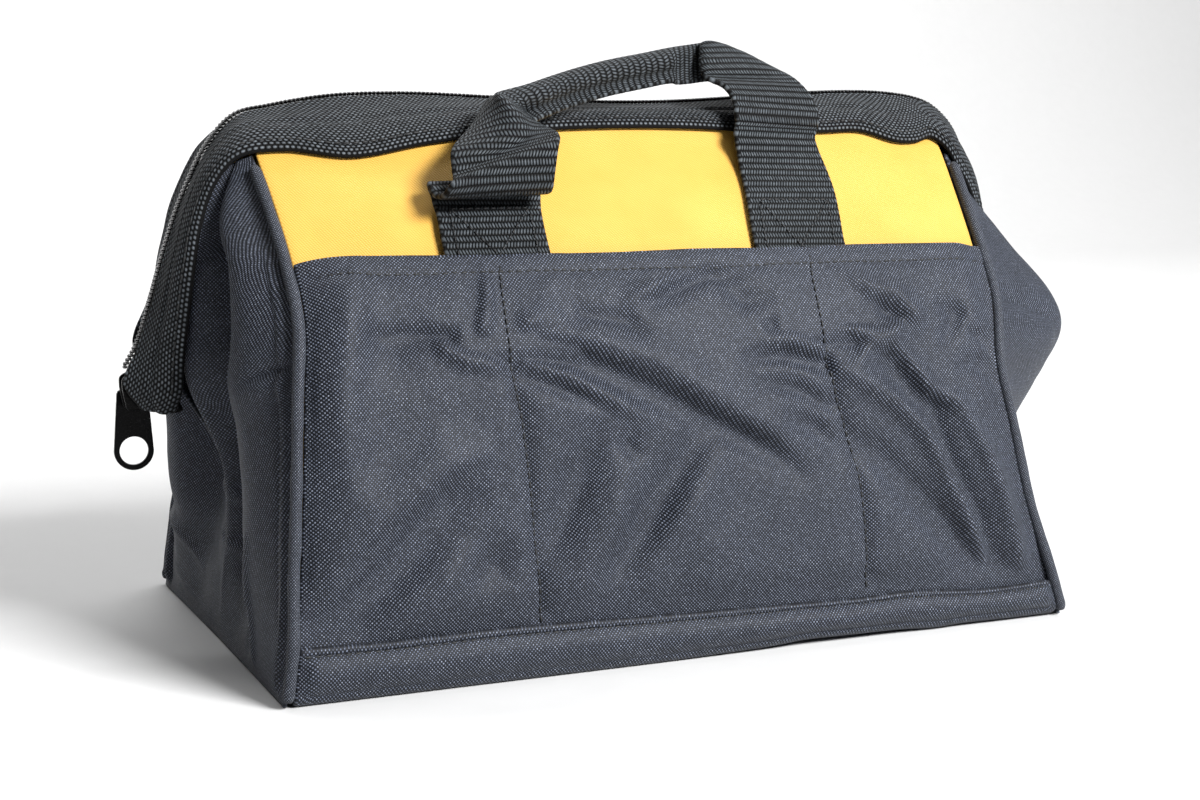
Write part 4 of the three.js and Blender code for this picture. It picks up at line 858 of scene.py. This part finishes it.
def base():
    """Base cloth: flat underneath, turned up over the foot of the pockets."""
    lift = POCKET_EDGE_LIFT + CLOTH / 2 + GAP + BASE_CLOTH / 2
    mid, r, wall_y = BASE_CLOTH / 2, BASE_CORNER_R, 88 + lift
    nu = 200
    w = np.linspace(-1, 1, nu + 1)
    rows, length = [], []
    for side in (-1, 1):
        x0 = w * BASE_HALF
        top = read(STRIP_FRONT, 1, x0) if side < 0 else np.full_like(x0, 16.0)
        rise = read(BASE_RISE, 1, x0) if side < 0 else 0 * x0
        part = []
        for k in range(23):
            f = k / 22
            z = top + (mid + r - top) * f
            d = top - z
            roll = np.sin(math.pi * np.clip((f - 0.14) / 0.86, 0, 1)) ** 0.8 * ramp(1, 0.965, np.abs(w))
            y = depth(z) + lift + 0.35 * np.exp(-(((d - 0.8) / 0.7) ** 2)) + 2.9 * roll * (1 + 0.2 * ripple(x0, 0 * x0, 40, 9))
            part.append((y + crown(z) * (1 - w * w), z + rise * f, z))
        for k in range(1, 7):
            a = k / 6 * math.pi / 2
            z = np.full_like(w, mid + r - r * math.sin(a))
            part.append((wall_y - r + r * math.cos(a) + 0 * w, z + rise, z))
        for k in range(1, 13):
            f = k / 12
            y = (wall_y - r) * (1 - f)
            z = np.full_like(w, mid)
            part.append((y + 0 * w, z + rise * (1 - ramp(0, 0.35, f)), z))
        pts = [np.stack([w * np.minimum(BASE_HALF, half(zz, w) - EDGE), side * y, z], -1) for y, z, zz in part]
        rows.append(pts)
    p = np.stack(rows[0] + rows[1][:-1][::-1])
    s = np.stack([length_along(p[:, i]) for i in range(nu + 1)], 1)
    return p, np.stack([p[..., 0], s], -1)


def end_panel(sx, rows, creases):
    """End panel with its zip slit: two halves that share the middle line below it."""
    across, low, high = 72, 66, 54
    zs = np.concatenate([np.linspace(rows[0, 0], SLIT_ROW_Z, low + 1), np.linspace(SLIT_ROW_Z, rows[-1, 0], high + 1)[1:]])
    s = np.linspace(0, 1, across + 1)[None, :]
    z = zs[:, None]
    halves = []
    for back in (0, 1):
        sy = 1 if back else -1
        get = lambda c: read(rows, c, zs)[:, None]
        corner = np.stack(np.broadcast_arrays(sx * (half(z, sx + 0 * z) + 0.6), sy * (depth(z) - 0.1 + 2.0 * ramp(44, 17, z)), z), -1)
        edge = np.stack(np.broadcast_arrays(sx * get(1), sy * np.where(z <= SLIT_ROW_Z, 0, get(2)), get(3)), -1)
        p = corner + (edge - corner) * s[..., None]
        top, mid = ramp(141, 156, z), ramp(150, 138, z) * ramp(96, 116, z)
        ridge = get(7 if back else 4) * bump(s, 0.36 + 0.05 * top - 0.05 * mid, 0.36)
        puff = 0 if back else get(6) * bump(s, 0.5, 0.5)
        fold = get(8 if back else 5) * (1.75 if sx < 0 and not back else 1.1) * bump(s, 0.72 + 0.06 * top - 0.04 * mid, 0.28 - 0.06 * top)
        p[..., 0] += sx * (ridge + puff - fold)
        far = np.linalg.norm(p - corner, axis=-1)
        hold = ramp(0, 0.05, s) * ramp(1, 0.96, s) * ramp(2, 10, z) * ramp(172, 160, z)
        p[..., 0] += sx * hold * (folds_at(p[..., 1], p[..., 2], creases) + 0.3 * ripple(p[..., 1], p[..., 2], 34, 31 + sx) + 0.05 * ripple(p[..., 1], p[..., 2], 13, 41 + sx))
        # the seam allowance makes a low roll beside the corner seam
        p[..., 0] += sx * ((1.5 * ramp(154, 128, z) + 1.0 * ramp(110, 90, z)) * np.exp(-(((far - 5.4) / 1.6) ** 2)) - 1.1 * ramp(110, 90, z) * np.exp(-(((far - 9) / 1.9) ** 2))) * ramp(1, 8, z) * ramp(172, 164, z)
        halves.append(p)
    points, index = [], {}
    grid = np.empty((2, len(zs), across + 1), int)
    uv = []
    for back in (0, 1):
        wide = np.linalg.norm(np.diff(halves[back], axis=1), axis=-1)
        run = np.pad(np.cumsum(wide[:, ::-1], 1), ((8, 8), (1, 0)), mode="edge")
        run[:, 0] = 0
        run = np.stack([run[k:k + len(zs)] for k in range(17)]).mean(0)[:, ::-1]
        rise = np.concatenate([[0], np.cumsum(np.linalg.norm(np.diff(halves[back], axis=0), axis=-1).mean(1))])
        for j in range(len(zs)):
            for i in range(across + 1):
                if back and i == across and j <= low:
                    grid[1, j, i] = grid[0, j, i]
                    continue
                grid[back, j, i] = len(points)
                points.append(halves[back][j, i])
                sgn = 1 if back else -1
                uv.append((sgn * run[j, i], rise[j]))
    quads = []
    for back in (0, 1):
        g = grid[back]
        q = np.stack([g[:-1, :-1], g[:-1, 1:], g[1:, 1:], g[1:, :-1]], -1).reshape(-1, 4)
        quads.append(q[:, ::-1] if back else q)
    area = area_of(halves[0]) + area_of(halves[1])
    return np.array(points), np.concatenate(quads), np.array(uv), area


def soft_piece(name, made, mat, node):
    v, f, uv = made[:3]
    ob = piece(name, v, f, mat, uv=uv)
    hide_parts(node)
    return ob


MIDDLE = (0.0, 0.0, 70.0)
for side, word in ((-1, "front"), (1, "back")):
    p, uv = panel(side)
    soft_piece(f"{word}_panel_cloth", grid_wall(p, uv, CLOTH, MIDDLE), YELLOW, f"{word}_panel")
    p, uv, th = pocket(side)
    made = grid_wall(p, uv, th, MIDDLE)
    soft_piece(f"{word}_pocket_cloth", made, CHARCOAL, f"{word}_pocket")

p, uv = base()
BASE_GRID = p
soft_piece("base_panel_cloth", grid_wall(p, uv, BASE_CLOTH, (0, 0, 60)), CHARCOAL, "base_panel")

for sx, word, rows, creases in ((-1, "left", LEFT_END, LEFT_CREASES), (1, "right", RIGHT_END, RIGHT_CREASES)):
    pts, quads, uv, area = end_panel(sx, rows, creases)
    soft_piece(f"{word}_end_cloth", wall(pts, quads, uv, CLOTH, (sx * 90, 0, 70)), CHARCOAL, f"{word}_end_panel")

# piping cord in the corner seams, turned under at the base
for fb, sy in (("front", -1), ("back", 1)):
    for lr, sx in (("left", -1), ("right", 1)):
        z = np.linspace(2.4, 170.9, 150)
        line = np.stack([sx * (half(z, sx + 0 * z) + 1.4 - 0.8 * ramp(44, 17, z)), sy * (depth(z) + 2.4 + 2.3 * ramp(44, 17, z)), z], 1)
        wob = 0.18 * ripple(z, 0 * z, 16, 51 + sx + 2 * sy)
        r = 0.92 * PIPING_R + wob
        r[:3] = PIPING_R * np.array([0.55, 0.85, 0.97])
        r[-3:] = PIPING_R * np.array([0.97, 0.85, 0.55])
        v, f, uv = tube(line, r, 14)
        ob = piece(f"piping_{fb}_{lr}_cord", v, f, PIPING, uv=uv)
        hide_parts(f"piping_{fb}_{lr}")


# ---------------------------------------------------------------- zip
def band_rows(sy, left, right):
    sewn, zp = [], []
    for r in left[::-1]:
        sewn.append((-r[0], sy * r[1], r[2]))
        zp.append((-r[3], sy * BAND_OFF, r[4]))
    for x, low, top in BAND_TOP:
        sewn.append(tuple(on_panel(sy, x, low, CLOTH / 2 + TAPE / 2 + 2 * GAP)))
        zp.append((x, sy * BAND_OFF, top))
    for r in right:
        sewn.append((r[0], sy * r[1], r[2]))
        zp.append((r[3], sy * BAND_OFF, r[4]))
    return np.array(sewn), np.array(zp)


def band(sy, left, right):
    sewn, zp = band_rows(sy, left, right)
    a, b = Curve(sewn), Curve(zp)
    nu, nv = 420, 16
    fine = np.linspace(0, 1, 2000)
    run = length_along((a.at(fine) + b.at(fine)) / 2)
    u = np.interp(np.linspace(0, run[-1], nu + 1), run, fine)
    pa, pb = a.at(u), b.at(u)
    along = unit(a.tangent(u) + b.tangent(u))
    out = unit(np.cross(pb - pa, along))
    flip = (out * ((pa + pb) / 2 - np.array([0, 0, 150.0]))).sum(1) < 0
    out[flip] *= -1
    v = np.linspace(0, 1, nv + 1)
    wide = np.linalg.norm(pb - pa, axis=1)
    p = pa[:, None] + (pb - pa)[:, None] * v[None, :, None]
    d = v[None, :] * wide[:, None]
    h = 0.85 * BAND_CROWN * 6.75 * v * (1 - v) ** 2
    s = np.linspace(0, run[-1], nu + 1)
    h = h[None, :] - 0.9 * np.exp(-(((v[None, :] - 0.52) * wide[:, None] / 1.3) ** 2))
    h = h + 0.35 * np.exp(-(((d - 1.6) / 0.9) ** 2))
    h = h + 0.35 * ripple(s[:, None] + 0 * d, d, 26, 61 + sy) * 4 * v * (1 - v)
    p = p + out[:, None] * h[..., None]
    uv = np.stack([d, s[:, None] + 0 * d], -1)
    return p, uv


BANDS = {}
for sy, word, left in ((-1, "front", BAND_END), (1, "back", np.vstack([BAND_END[:-2], BAND_TAIL_INSIDE]))):
    p, uv = band(sy, left, BAND_RIGHT)
    BANDS[sy] = p
    soft_piece(f"{word}_zip_tape", grid_wall(p, uv, TAPE, (0, 0, 150)), BAND, f"{word}_zip_band")

# closed coil: interlocking turns over a narrow tape
_, zp = band_rows(-1, BAND_END[:CHAIN_TAIL + 1], BAND_RIGHT)
zp[:, 1] = 0
zp[0] += (1, 0, 5)
c = Curve(zp)
line = even(c.at(np.linspace(0, 1, 3000)), 0.78)
t = unit(np.gradient(line, axis=0))
across = np.tile(np.array([0, 1.0, 0]), (len(line), 1))
out = np.cross(across, t)
flip = (out * (line - np.array([0, 0, 120.0]))).sum(1) < 0
out[flip] *= -1
k = np.arange(len(line))
sgn = np.where(k % 2 == 0, -1.0, 1.0)[:, None]
proud = ramp(164, 178, line[:, 2:])  # along the top the coil stands up between the bands
v1, f1 = grains(line + across * sgn * 1.05 + out * (0.75 + 0.65 * proud), across + t * sgn * 0.18, out, 3.7, 0.68, sides=8)
n1 = len(v1)
off = np.linspace(-4.6, 4.6, 9)
sub = even(line, 2.0)
ts = unit(np.gradient(sub, axis=0))
outs = np.cross(np.array([0, 1.0, 0]), ts)
outs[(outs * (sub - np.array([0, 0, 120.0]))).sum(1) < 0] *= -1
rise = ramp(164, 178, sub[:, 2:])
grid = (sub - (1.6 - 1.75 * rise) * outs)[:, None] + np.array([0, 1.0, 0])[None, None] * (off * (1 - 0.36 * rise))[..., None]
made = grid_wall(grid, np.stack(np.broadcast_arrays(off[None, :], length_along(sub)[:, None]), -1), 0.9, (0, 0, 120))
v, f = join([(v1, f1), made[:2]])
ob = piece("zip_coil", v, f, COIL)
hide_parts("zip_chain")


def flat_metal(name, loops, thick, bevel, place, body):
    """A pressed plate with rounded edges, from outlines in its own plane."""
    cu = bpy.data.curves.new(name, "CURVE")
    cu.dimensions = "2D"
    cu.fill_mode = "BOTH"
    cu.extrude = (thick / 2 - bevel) * MM
    cu.bevel_depth = bevel * MM
    cu.bevel_resolution = 3
    cu.offset = -bevel * MM
    for loop in loops:
        sp = cu.splines.new("POLY")
        sp.points.add(len(loop) - 1)
        sp.points.foreach_set("co", np.array([(x * MM, y * MM, 0, 1) for x, y in loop]).ravel())
        sp.use_cyclic_u = True
    tmp = bpy.data.objects.new(name + "_outline", cu)
    bpy.context.scene.collection.objects.link(tmp)
    dg = bpy.context.evaluated_depsgraph_get()
    dg.update()
    me = bpy.data.meshes.new_from_object(tmp.evaluated_get(dg))
    bpy.data.objects.remove(tmp)
    bpy.data.curves.remove(cu)
    co = np.empty(len(me.vertices) * 3)
    me.vertices.foreach_get("co", co)
    co = co.reshape(-1, 3) / MM
    faces = [tuple(pl.vertices) for pl in me.polygons]
    bpy.data.meshes.remove(me)
    # the plate's plane becomes XZ
    v = np.stack([co[:, 0], -co[:, 2], co[:, 1]], 1) + np.asarray(place)
    return v, faces


def rounded(points, radius, n=6):
    """Outline with its corners rounded."""
    p = np.asarray(points, float)
    out = []
    for i in range(len(p)):
        a, b, c = p[i - 1], p[i], p[(i + 1) % len(p)]
        da, dc = unit(a - b), unit(c - b)
        r = min(radius, 0.45 * np.linalg.norm(a - b), 0.45 * np.linalg.norm(c - b))
        s, e = b + da * r, b + dc * r
        for k in range(n + 1):
            f = k / n
            out.append(tuple((1 - f) ** 2 * s + 2 * f * (1 - f) * b + f * f * e))
    return out


wide, nose, tall, deep, plate = 10, 7, 13, 7, 1.6
shield = rounded([(-nose / 2, -tall / 2), (nose / 2, -tall / 2), (wide / 2, tall * 0.1), (wide / 2, tall * 0.38),
                  (wide * 0.3, tall / 2), (-wide * 0.3, tall / 2), (-wide / 2, tall * 0.38), (-wide / 2, tall * 0.1)], 1.6)
post = rounded([(-1.6, tall * 0.1), (0, -tall * 0.3), (1.6, tall * 0.1), (0, tall * 0.45)], 0.6)
sx0, sy0, sz0 = SLIDER
parts = [flat_metal("a", [shield], plate, 0.45, (sx0, sy0 + deep / 2 - plate / 2, sz0), "bag"),
         flat_metal("b", [shield], plate, 0.45, (sx0, sy0 - deep / 2 + plate / 2, sz0), "bag"),
         flat_metal("c", [post], deep - 1.0, 0.2, (sx0, sy0, sz0), "bag")]
a = np.linspace(-0.8 * math.pi, 0.8 * math.pi, 40)
arch = np.stack([np.full(40, sx0), sy0 + deep / 2 + 1.7 + 3.0 * np.cos(a), PIVOT[2] + 3.0 * np.sin(a)], 1)
parts.append(tube(arch, 0.8, 12)[:2])
v, f = join(parts)
ob = piece("zip_slider_body", v, f, METAL)
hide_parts("zip_slider")

TAB_LONG, TAB_TOP, TAB_FOOT, TAB_THICK, TAB_HOLE, TAB_BAR, TAB_WIN, TAB_WIN_W = 28, 11, 14, 1.8, 5.1, 2.0, 3.8, 4.2
r, low = TAB_FOOT / 2, -TAB_LONG + TAB_FOOT / 2
a = np.linspace(math.pi, 2 * math.pi, 40)
outer = [(-TAB_TOP / 2 + 1.4, TAB_BAR / 2), (-TAB_TOP / 2 + 0.5, TAB_BAR / 2 - 0.35), (-TAB_TOP / 2, TAB_BAR / 2 - 1.4)]
outer += [(r * math.cos(x), low + r * math.sin(x)) for x in a]
outer += [(TAB_TOP / 2, TAB_BAR / 2 - 1.4), (TAB_TOP / 2 - 0.5, TAB_BAR / 2 - 0.35), (TAB_TOP / 2 - 1.4, TAB_BAR / 2)]
eye = [(TAB_HOLE * math.cos(x), low + TAB_HOLE * math.sin(x)) for x in np.linspace(0, 2 * math.pi, 56, endpoint=False)]
win = rounded([(-TAB_WIN_W / 2, -TAB_BAR / 2), (TAB_WIN_W / 2, -TAB_BAR / 2),
               (TAB_WIN_W / 2, -TAB_BAR / 2 - TAB_WIN), (-TAB_WIN_W / 2, -TAB_BAR / 2 - TAB_WIN)], 0.9)
v, f = flat_metal("t", [outer, eye, win], TAB_THICK, 0.4, PIVOT, "pull_tab")
ob = piece("zip_pull_tab_plate", v, f, METAL, body="pull_tab")
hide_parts("zip_pull_tab")


# ---------------------------------------------------------------- handles
def through(p, x, at):
    """Smooth values between rows p at the places x."""
    m = np.empty_like(p)
    m[1:-1] = (p[2:] - p[:-2]) / (x[2:] - x[:-2])[:, None]
    m[0], m[-1] = (p[1] - p[0]) / (x[1] - x[0]), (p[-1] - p[-2]) / (x[-1] - x[-2])
    i = np.clip(np.searchsorted(x, at, side="right") - 1, 0, len(x) - 2)
    d = (x[i + 1] - x[i])[:, None]
    s = ((at - x[i]) / (x[i + 1] - x[i]))[:, None]
    return ((2 * s**3 - 3 * s**2 + 1) * p[i] + (s**3 - 2 * s**2 + s) * d * m[i]
            + (3 * s**2 - 2 * s**3) * p[i + 1] + (s**3 - s**2) * d * m[i + 1])


def front_handle():
    """Strap through the rows of the net, buckled over its left leg."""
    rows = [on_panel(-1, x - ROW_AT, np.full(13, float(z)), LEG_LIFT + 0.5) for z, x in LEFT_LEG]
    for row in FRONT_NET:
        q = np.array(row, float)
        f = np.linspace(0, 1, 13) if len(q) == 13 else (ROW_AT + 18.25) / 36.5
        rows.append(q if len(q) == 13 else q[0] + (q[1] - q[0]) * f[:, None])
    rows += [on_panel(-1, x + ROW_AT, np.full(13, float(z)), LEG_LIFT + 0.5) for z, x in RIGHT_LEG]
    net = np.array(rows)
    far = np.linalg.norm(np.diff(net, axis=0), axis=-1).mean(1)
    key = np.concatenate([[0], np.cumsum(np.sqrt(far))])
    fine = np.linspace(0, key[-1], 6000)
    flat = net.reshape(len(net), -1)
    dense = through(flat, key, fine).reshape(len(fine), 13, 3)
    run = np.concatenate([[0], np.cumsum(np.linalg.norm(np.diff(dense, axis=0), axis=-1).mean(1))])
    n = int(run[-1] / 0.68)
    at = np.interp(np.linspace(0, run[-1], n + 1), run, fine)
    g = through(flat, key, at).reshape(n + 1, 13, 3)
    w = np.linspace(-WEBBING_WIDTH / 2, WEBBING_WIDTH / 2, 39)
    grid = through(g.transpose(1, 0, 2).reshape(13, -1), ROW_AT, w).reshape(39, n + 1, 3).transpose(1, 0, 2)
    step = np.linalg.norm(np.diff(grid, axis=0), axis=-1)
    own = np.vstack([np.zeros((1, 39)), np.cumsum(step, 0)])
    mean = own.mean(1, keepdims=True)
    v = mean + (own - mean) * ramp(26, 19, np.interp(at, key, np.arange(len(key))))[:, None]
    rib = 0.95 + 0.10 * np.abs(np.sin(math.pi * v / 2.6))
    return grid, np.stack([np.broadcast_to(w, v.shape), v], -1), WEBBING * rib, run[-1]


def back_handle(side, free):
    legs = np.array([HANDLE_FOOT, 121, 131, 140, 149, 157], float)

    def leg(x, b):
        p = on_panel(side, np.full_like(legs, x), legs, LEG_LIFT + ramp(140, 160, legs) * 1.2)
        return np.column_stack([p, np.tile([b, 0, 0, 0], (len(legs), 1))])

    rows = np.vstack([leg(HANDLE_X[0], side), free, leg(HANDLE_X[1], -side)[::-1]])
    path, wide, fold = Curve(rows[:, :3]), Curve(rows[:, 3:6]), Curve(np.column_stack([rows[:, 6], 0 * rows[:, :2]]))
    fine = np.linspace(0, 1, 4000)
    run = length_along(path.at(fine))
    n = int(run[-1] / 0.68)
    v = np.interp(np.linspace(0, run[-1], n + 1), run, fine)
    s = np.linspace(0, run[-1], n + 1)
    p, t = path.at(v), path.tangent(v)
    b = wide.at(v)
    b = unit(b - t * (b * t).sum(1, keepdims=True))
    nn = unit(np.cross(t, b))
    bend = np.clip(fold.at(v)[:, 0], 0, 1) * math.pi / 2
    w = np.linspace(-WEBBING_WIDTH / 2, WEBBING_WIDTH / 2, 39)
    a = np.abs(w)
    arc = np.minimum(a, GRIP_ARC)
    rest = a - arc
    bb = np.maximum(bend, 1e-4)[:, None]
    r = GRIP_ARC / bb
    turn = bb * arc[None, :] / GRIP_ARC
    outw = r * np.sin(turn) + rest[None, :] * np.cos(bb)
    down = r * (1 - np.cos(turn)) + rest[None, :] * np.sin(bb)
    grid = p[:, None] + b[:, None] * (np.sign(w)[None, :] * outw)[..., None] - nn[:, None] * down[..., None]
    rib = 1 + 0.10 * np.abs(np.sin(math.pi * s / 2.6))[:, None] * np.ones((1, len(w))) - 0.05
    uv = np.stack(np.broadcast_arrays(w[None, :], s[:, None]), -1)
    return grid, uv, WEBBING * rib, run[-1]


STRAPS = {}
for side, word in ((-1, "front"), (1, "back")):
    p, uv, th, long = front_handle() if side < 0 else back_handle(side, BACK_HANDLE)
    STRAPS[side] = p
    soft_piece(f"{word}_handle_webbing", grid_wall(p, uv, th), WEB, f"{word}_handle")

# ---------------------------------------------------------------- stitching
for side, word in ((-1, "front"), (1, "back")):
    # hem of the pocket
    x = np.linspace(-132, 131, 400)
    z = np.full_like(x, 132.4)
    w = x / (half(z, x) - EDGE)
    hem = on_panel(side, x, z, pocket_lift(side, x, z, w) + CLOTH / 2 + 0.25)
    lean_out, lean_up = lean(z)
    nor = np.stack([0 * x, side * lean_out, lean_up], 1)
    lines, normals = [hem], [nor]
    if side < 0:
        for d in (DIVIDER_LEFT, DIVIDER_RIGHT):
            z = np.linspace(18, 136, 300)
            x = read(d, 1, z)
            w = x / (half(z, x) - EDGE)
            lines.append(on_panel(side, x, z, pocket_lift(side, x, z, w) + CLOTH / 2 + 0.12))
            o, u = lean(z)
            normals.append(np.stack([0 * x, side * o, u], 1))
    stitches(f"{word}_pocket_stitches", lines, normals, THREAD)
    # base strip
    g = BASE_GRID[3 if side < 0 else -4]
    step = even(g, 1.0)
    nor = np.tile([0, float(side), 0.05], (len(step), 1))
    stitches(f"{word}_base_stitches", step + nor * (BASE_CLOTH / 2 + 0.12), nor, THREAD)
    # sewn edge of the zip band
    g = BANDS[side]
    c1, c2 = g[6:-6, 2], g[6:-6, 4]
    t = unit(np.gradient(c1, axis=0))
    nor = unit(np.cross(t, c2 - c1))
    flip = (nor * (c1 - np.array([0, 0, 150.0]))).sum(1) < 0
    nor[flip] *= -1
    stitches(f"{word}_band_stitches", c1 + nor * (TAPE / 2 + 0.1), nor, THREAD)
    # crossed box on each leg of the handle
    lines, normals = [], []
    g = STRAPS[side]
    run = length_along(g[:, 19])
    nor = unit(np.cross(np.gradient(g, axis=0), np.gradient(g, axis=1)))
    for foot, top in ((12, 52), (run[-1] - 12, run[-1] - 55)):
        at = np.interp((foot + top) / 2, run, np.arange(len(run)))
        out = 1 if nor[int(at), 19, 1] * side > 0 else -1
        box = [(-14.5, top), (14.5, top), (14.5, foot), (-14.5, foot), (-14.5, top)]
        for q in (box, [(-14.5, top), (14.5, foot)], [(14.5, top), (-14.5, foot)]):
            q = np.array(q, float)
            tt = np.linspace(0, len(q) - 1, 60 * (len(q) - 1))
            i = np.interp(np.interp(tt, np.arange(len(q)), q[:, 1]), run, np.arange(len(run)))
            j = (np.interp(tt, np.arange(len(q)), q[:, 0]) / WEBBING_WIDTH + 0.5) * 38
            i0, j0 = np.minimum(i.astype(int), len(run) - 2), np.minimum(j.astype(int), 37)
            fi, fj = (i - i0)[:, None], (j - j0)[:, None]
            pick = lambda a: ((a[i0, j0] * (1 - fj) + a[i0, j0 + 1] * fj) * (1 - fi)
                              + (a[i0 + 1, j0] * (1 - fj) + a[i0 + 1, j0 + 1] * fj) * fi)
            nr = unit(pick(nor)) * out
            lines.append(pick(g) + nr * (WEBBING / 2 + 0.12))
            normals.append(nr)
    stitches(f"{word}_handle_stitches", lines, normals, THREAD, pitch=2.9, long=2.2)

# ---------------------------------------------------------------- floor, light, camera
me = bpy.data.meshes.new("studio_floor")
rows = [(-2.5, 0), (1.6, 0)] + [(1.6 + 0.7 * math.sin(a), 0.7 - 0.7 * math.cos(a)) for a in np.linspace(0.1, math.pi / 2, 14)] + [(2.3, 3.0)]
verts = [(x, y, z - 0.0002) for y, z in rows for x in (-4.0, 4.0)]
me.from_pydata(verts, [], [(2 * i, 2 * i + 1, 2 * i + 3, 2 * i + 2) for i in range(len(rows) - 1)])
me.polygons.foreach_set("use_smooth", np.full(len(me.polygons), True))
s = Shade("studio_paper")
n = s.noise(s.place(), 60.0, 3.0)
s.shader(Base_Color=s.mix(n, (0.66, 0.66, 0.66, 1), (0.69, 0.69, 0.69, 1)), Roughness=s.map(n, 0.3, 0.7, 0.85, 0.95))
me.materials.append(s.mat)
floor = bpy.data.objects.new("studio_floor", me)
bpy.context.scene.collection.objects.link(floor)

world = bpy.data.worlds.new("studio")
bpy.context.scene.world = world
world.use_nodes = True
world.node_tree.nodes["Background"].inputs[0].default_value = (1, 1, 1, 1)
world.node_tree.nodes["Background"].inputs[1].default_value = 0.02


def softbox(name, at, to, size, watts):
    li = bpy.data.lights.new(name, "AREA")
    li.shape = "RECTANGLE"
    li.size, li.size_y = size
    li.energy = watts
    ob = bpy.data.objects.new(name, li)
    d = unit(np.array(to, float) - np.array(at, float))
    z = -d
    x = unit(np.cross([0, 0, 1.0], z))
    y = np.cross(z, x)
    ob.matrix_world = Matrix([[x[0], y[0], z[0], at[0]], [x[1], y[1], z[1], at[1]], [x[2], y[2], z[2], at[2]], [0, 0, 0, 1]])
    bpy.context.scene.collection.objects.link(ob)


softbox("key", (0.78, -1.54, 1.21), (0, 0, 0.09), (0.8, 0.6), 92)
softbox("top", (0.2, 0.1, 2.2), (0, 0, 0), (1.2, 1.0), 9)
softbox("backdrop", (0.4, 1.0, 2.4), (0.4, 2.3, 0.9), (3.8, 0.8), 80)

AZ, PITCH, ROLL = (math.radians(a) for a in (24.40, 8.21, 0.29))
fwd = np.array([math.sin(AZ) * math.cos(PITCH), math.cos(AZ) * math.cos(PITCH), -math.sin(PITCH)])
right = np.array([math.cos(AZ), -math.sin(AZ), 0])
up = np.cross(right, fwd)
cr = math.cos(ROLL) * right + math.sin(ROLL) * up
cu_ = -math.sin(ROLL) * right + math.cos(ROLL) * up
cam = bpy.data.cameras.new("camera")
cam.sensor_fit = "HORIZONTAL"
cam.sensor_width = 36
cam.lens = 36 * 1927.08 / 1200
cam.clip_start = 0.01
cam_ob = bpy.data.objects.new("camera", cam)
cam_ob.matrix_world = Matrix([[cr[0], cu_[0], -fwd[0], -0.30745], [cr[1], cu_[1], -fwd[1], -0.67606],
                              [cr[2], cu_[2], -fwd[2], 0.18665], [0, 0, 0, 1]])
bpy.context.scene.collection.objects.link(cam_ob)
bpy.context.scene.camera = cam_ob
bpy.context.scene.view_settings.view_transform = "Standard"
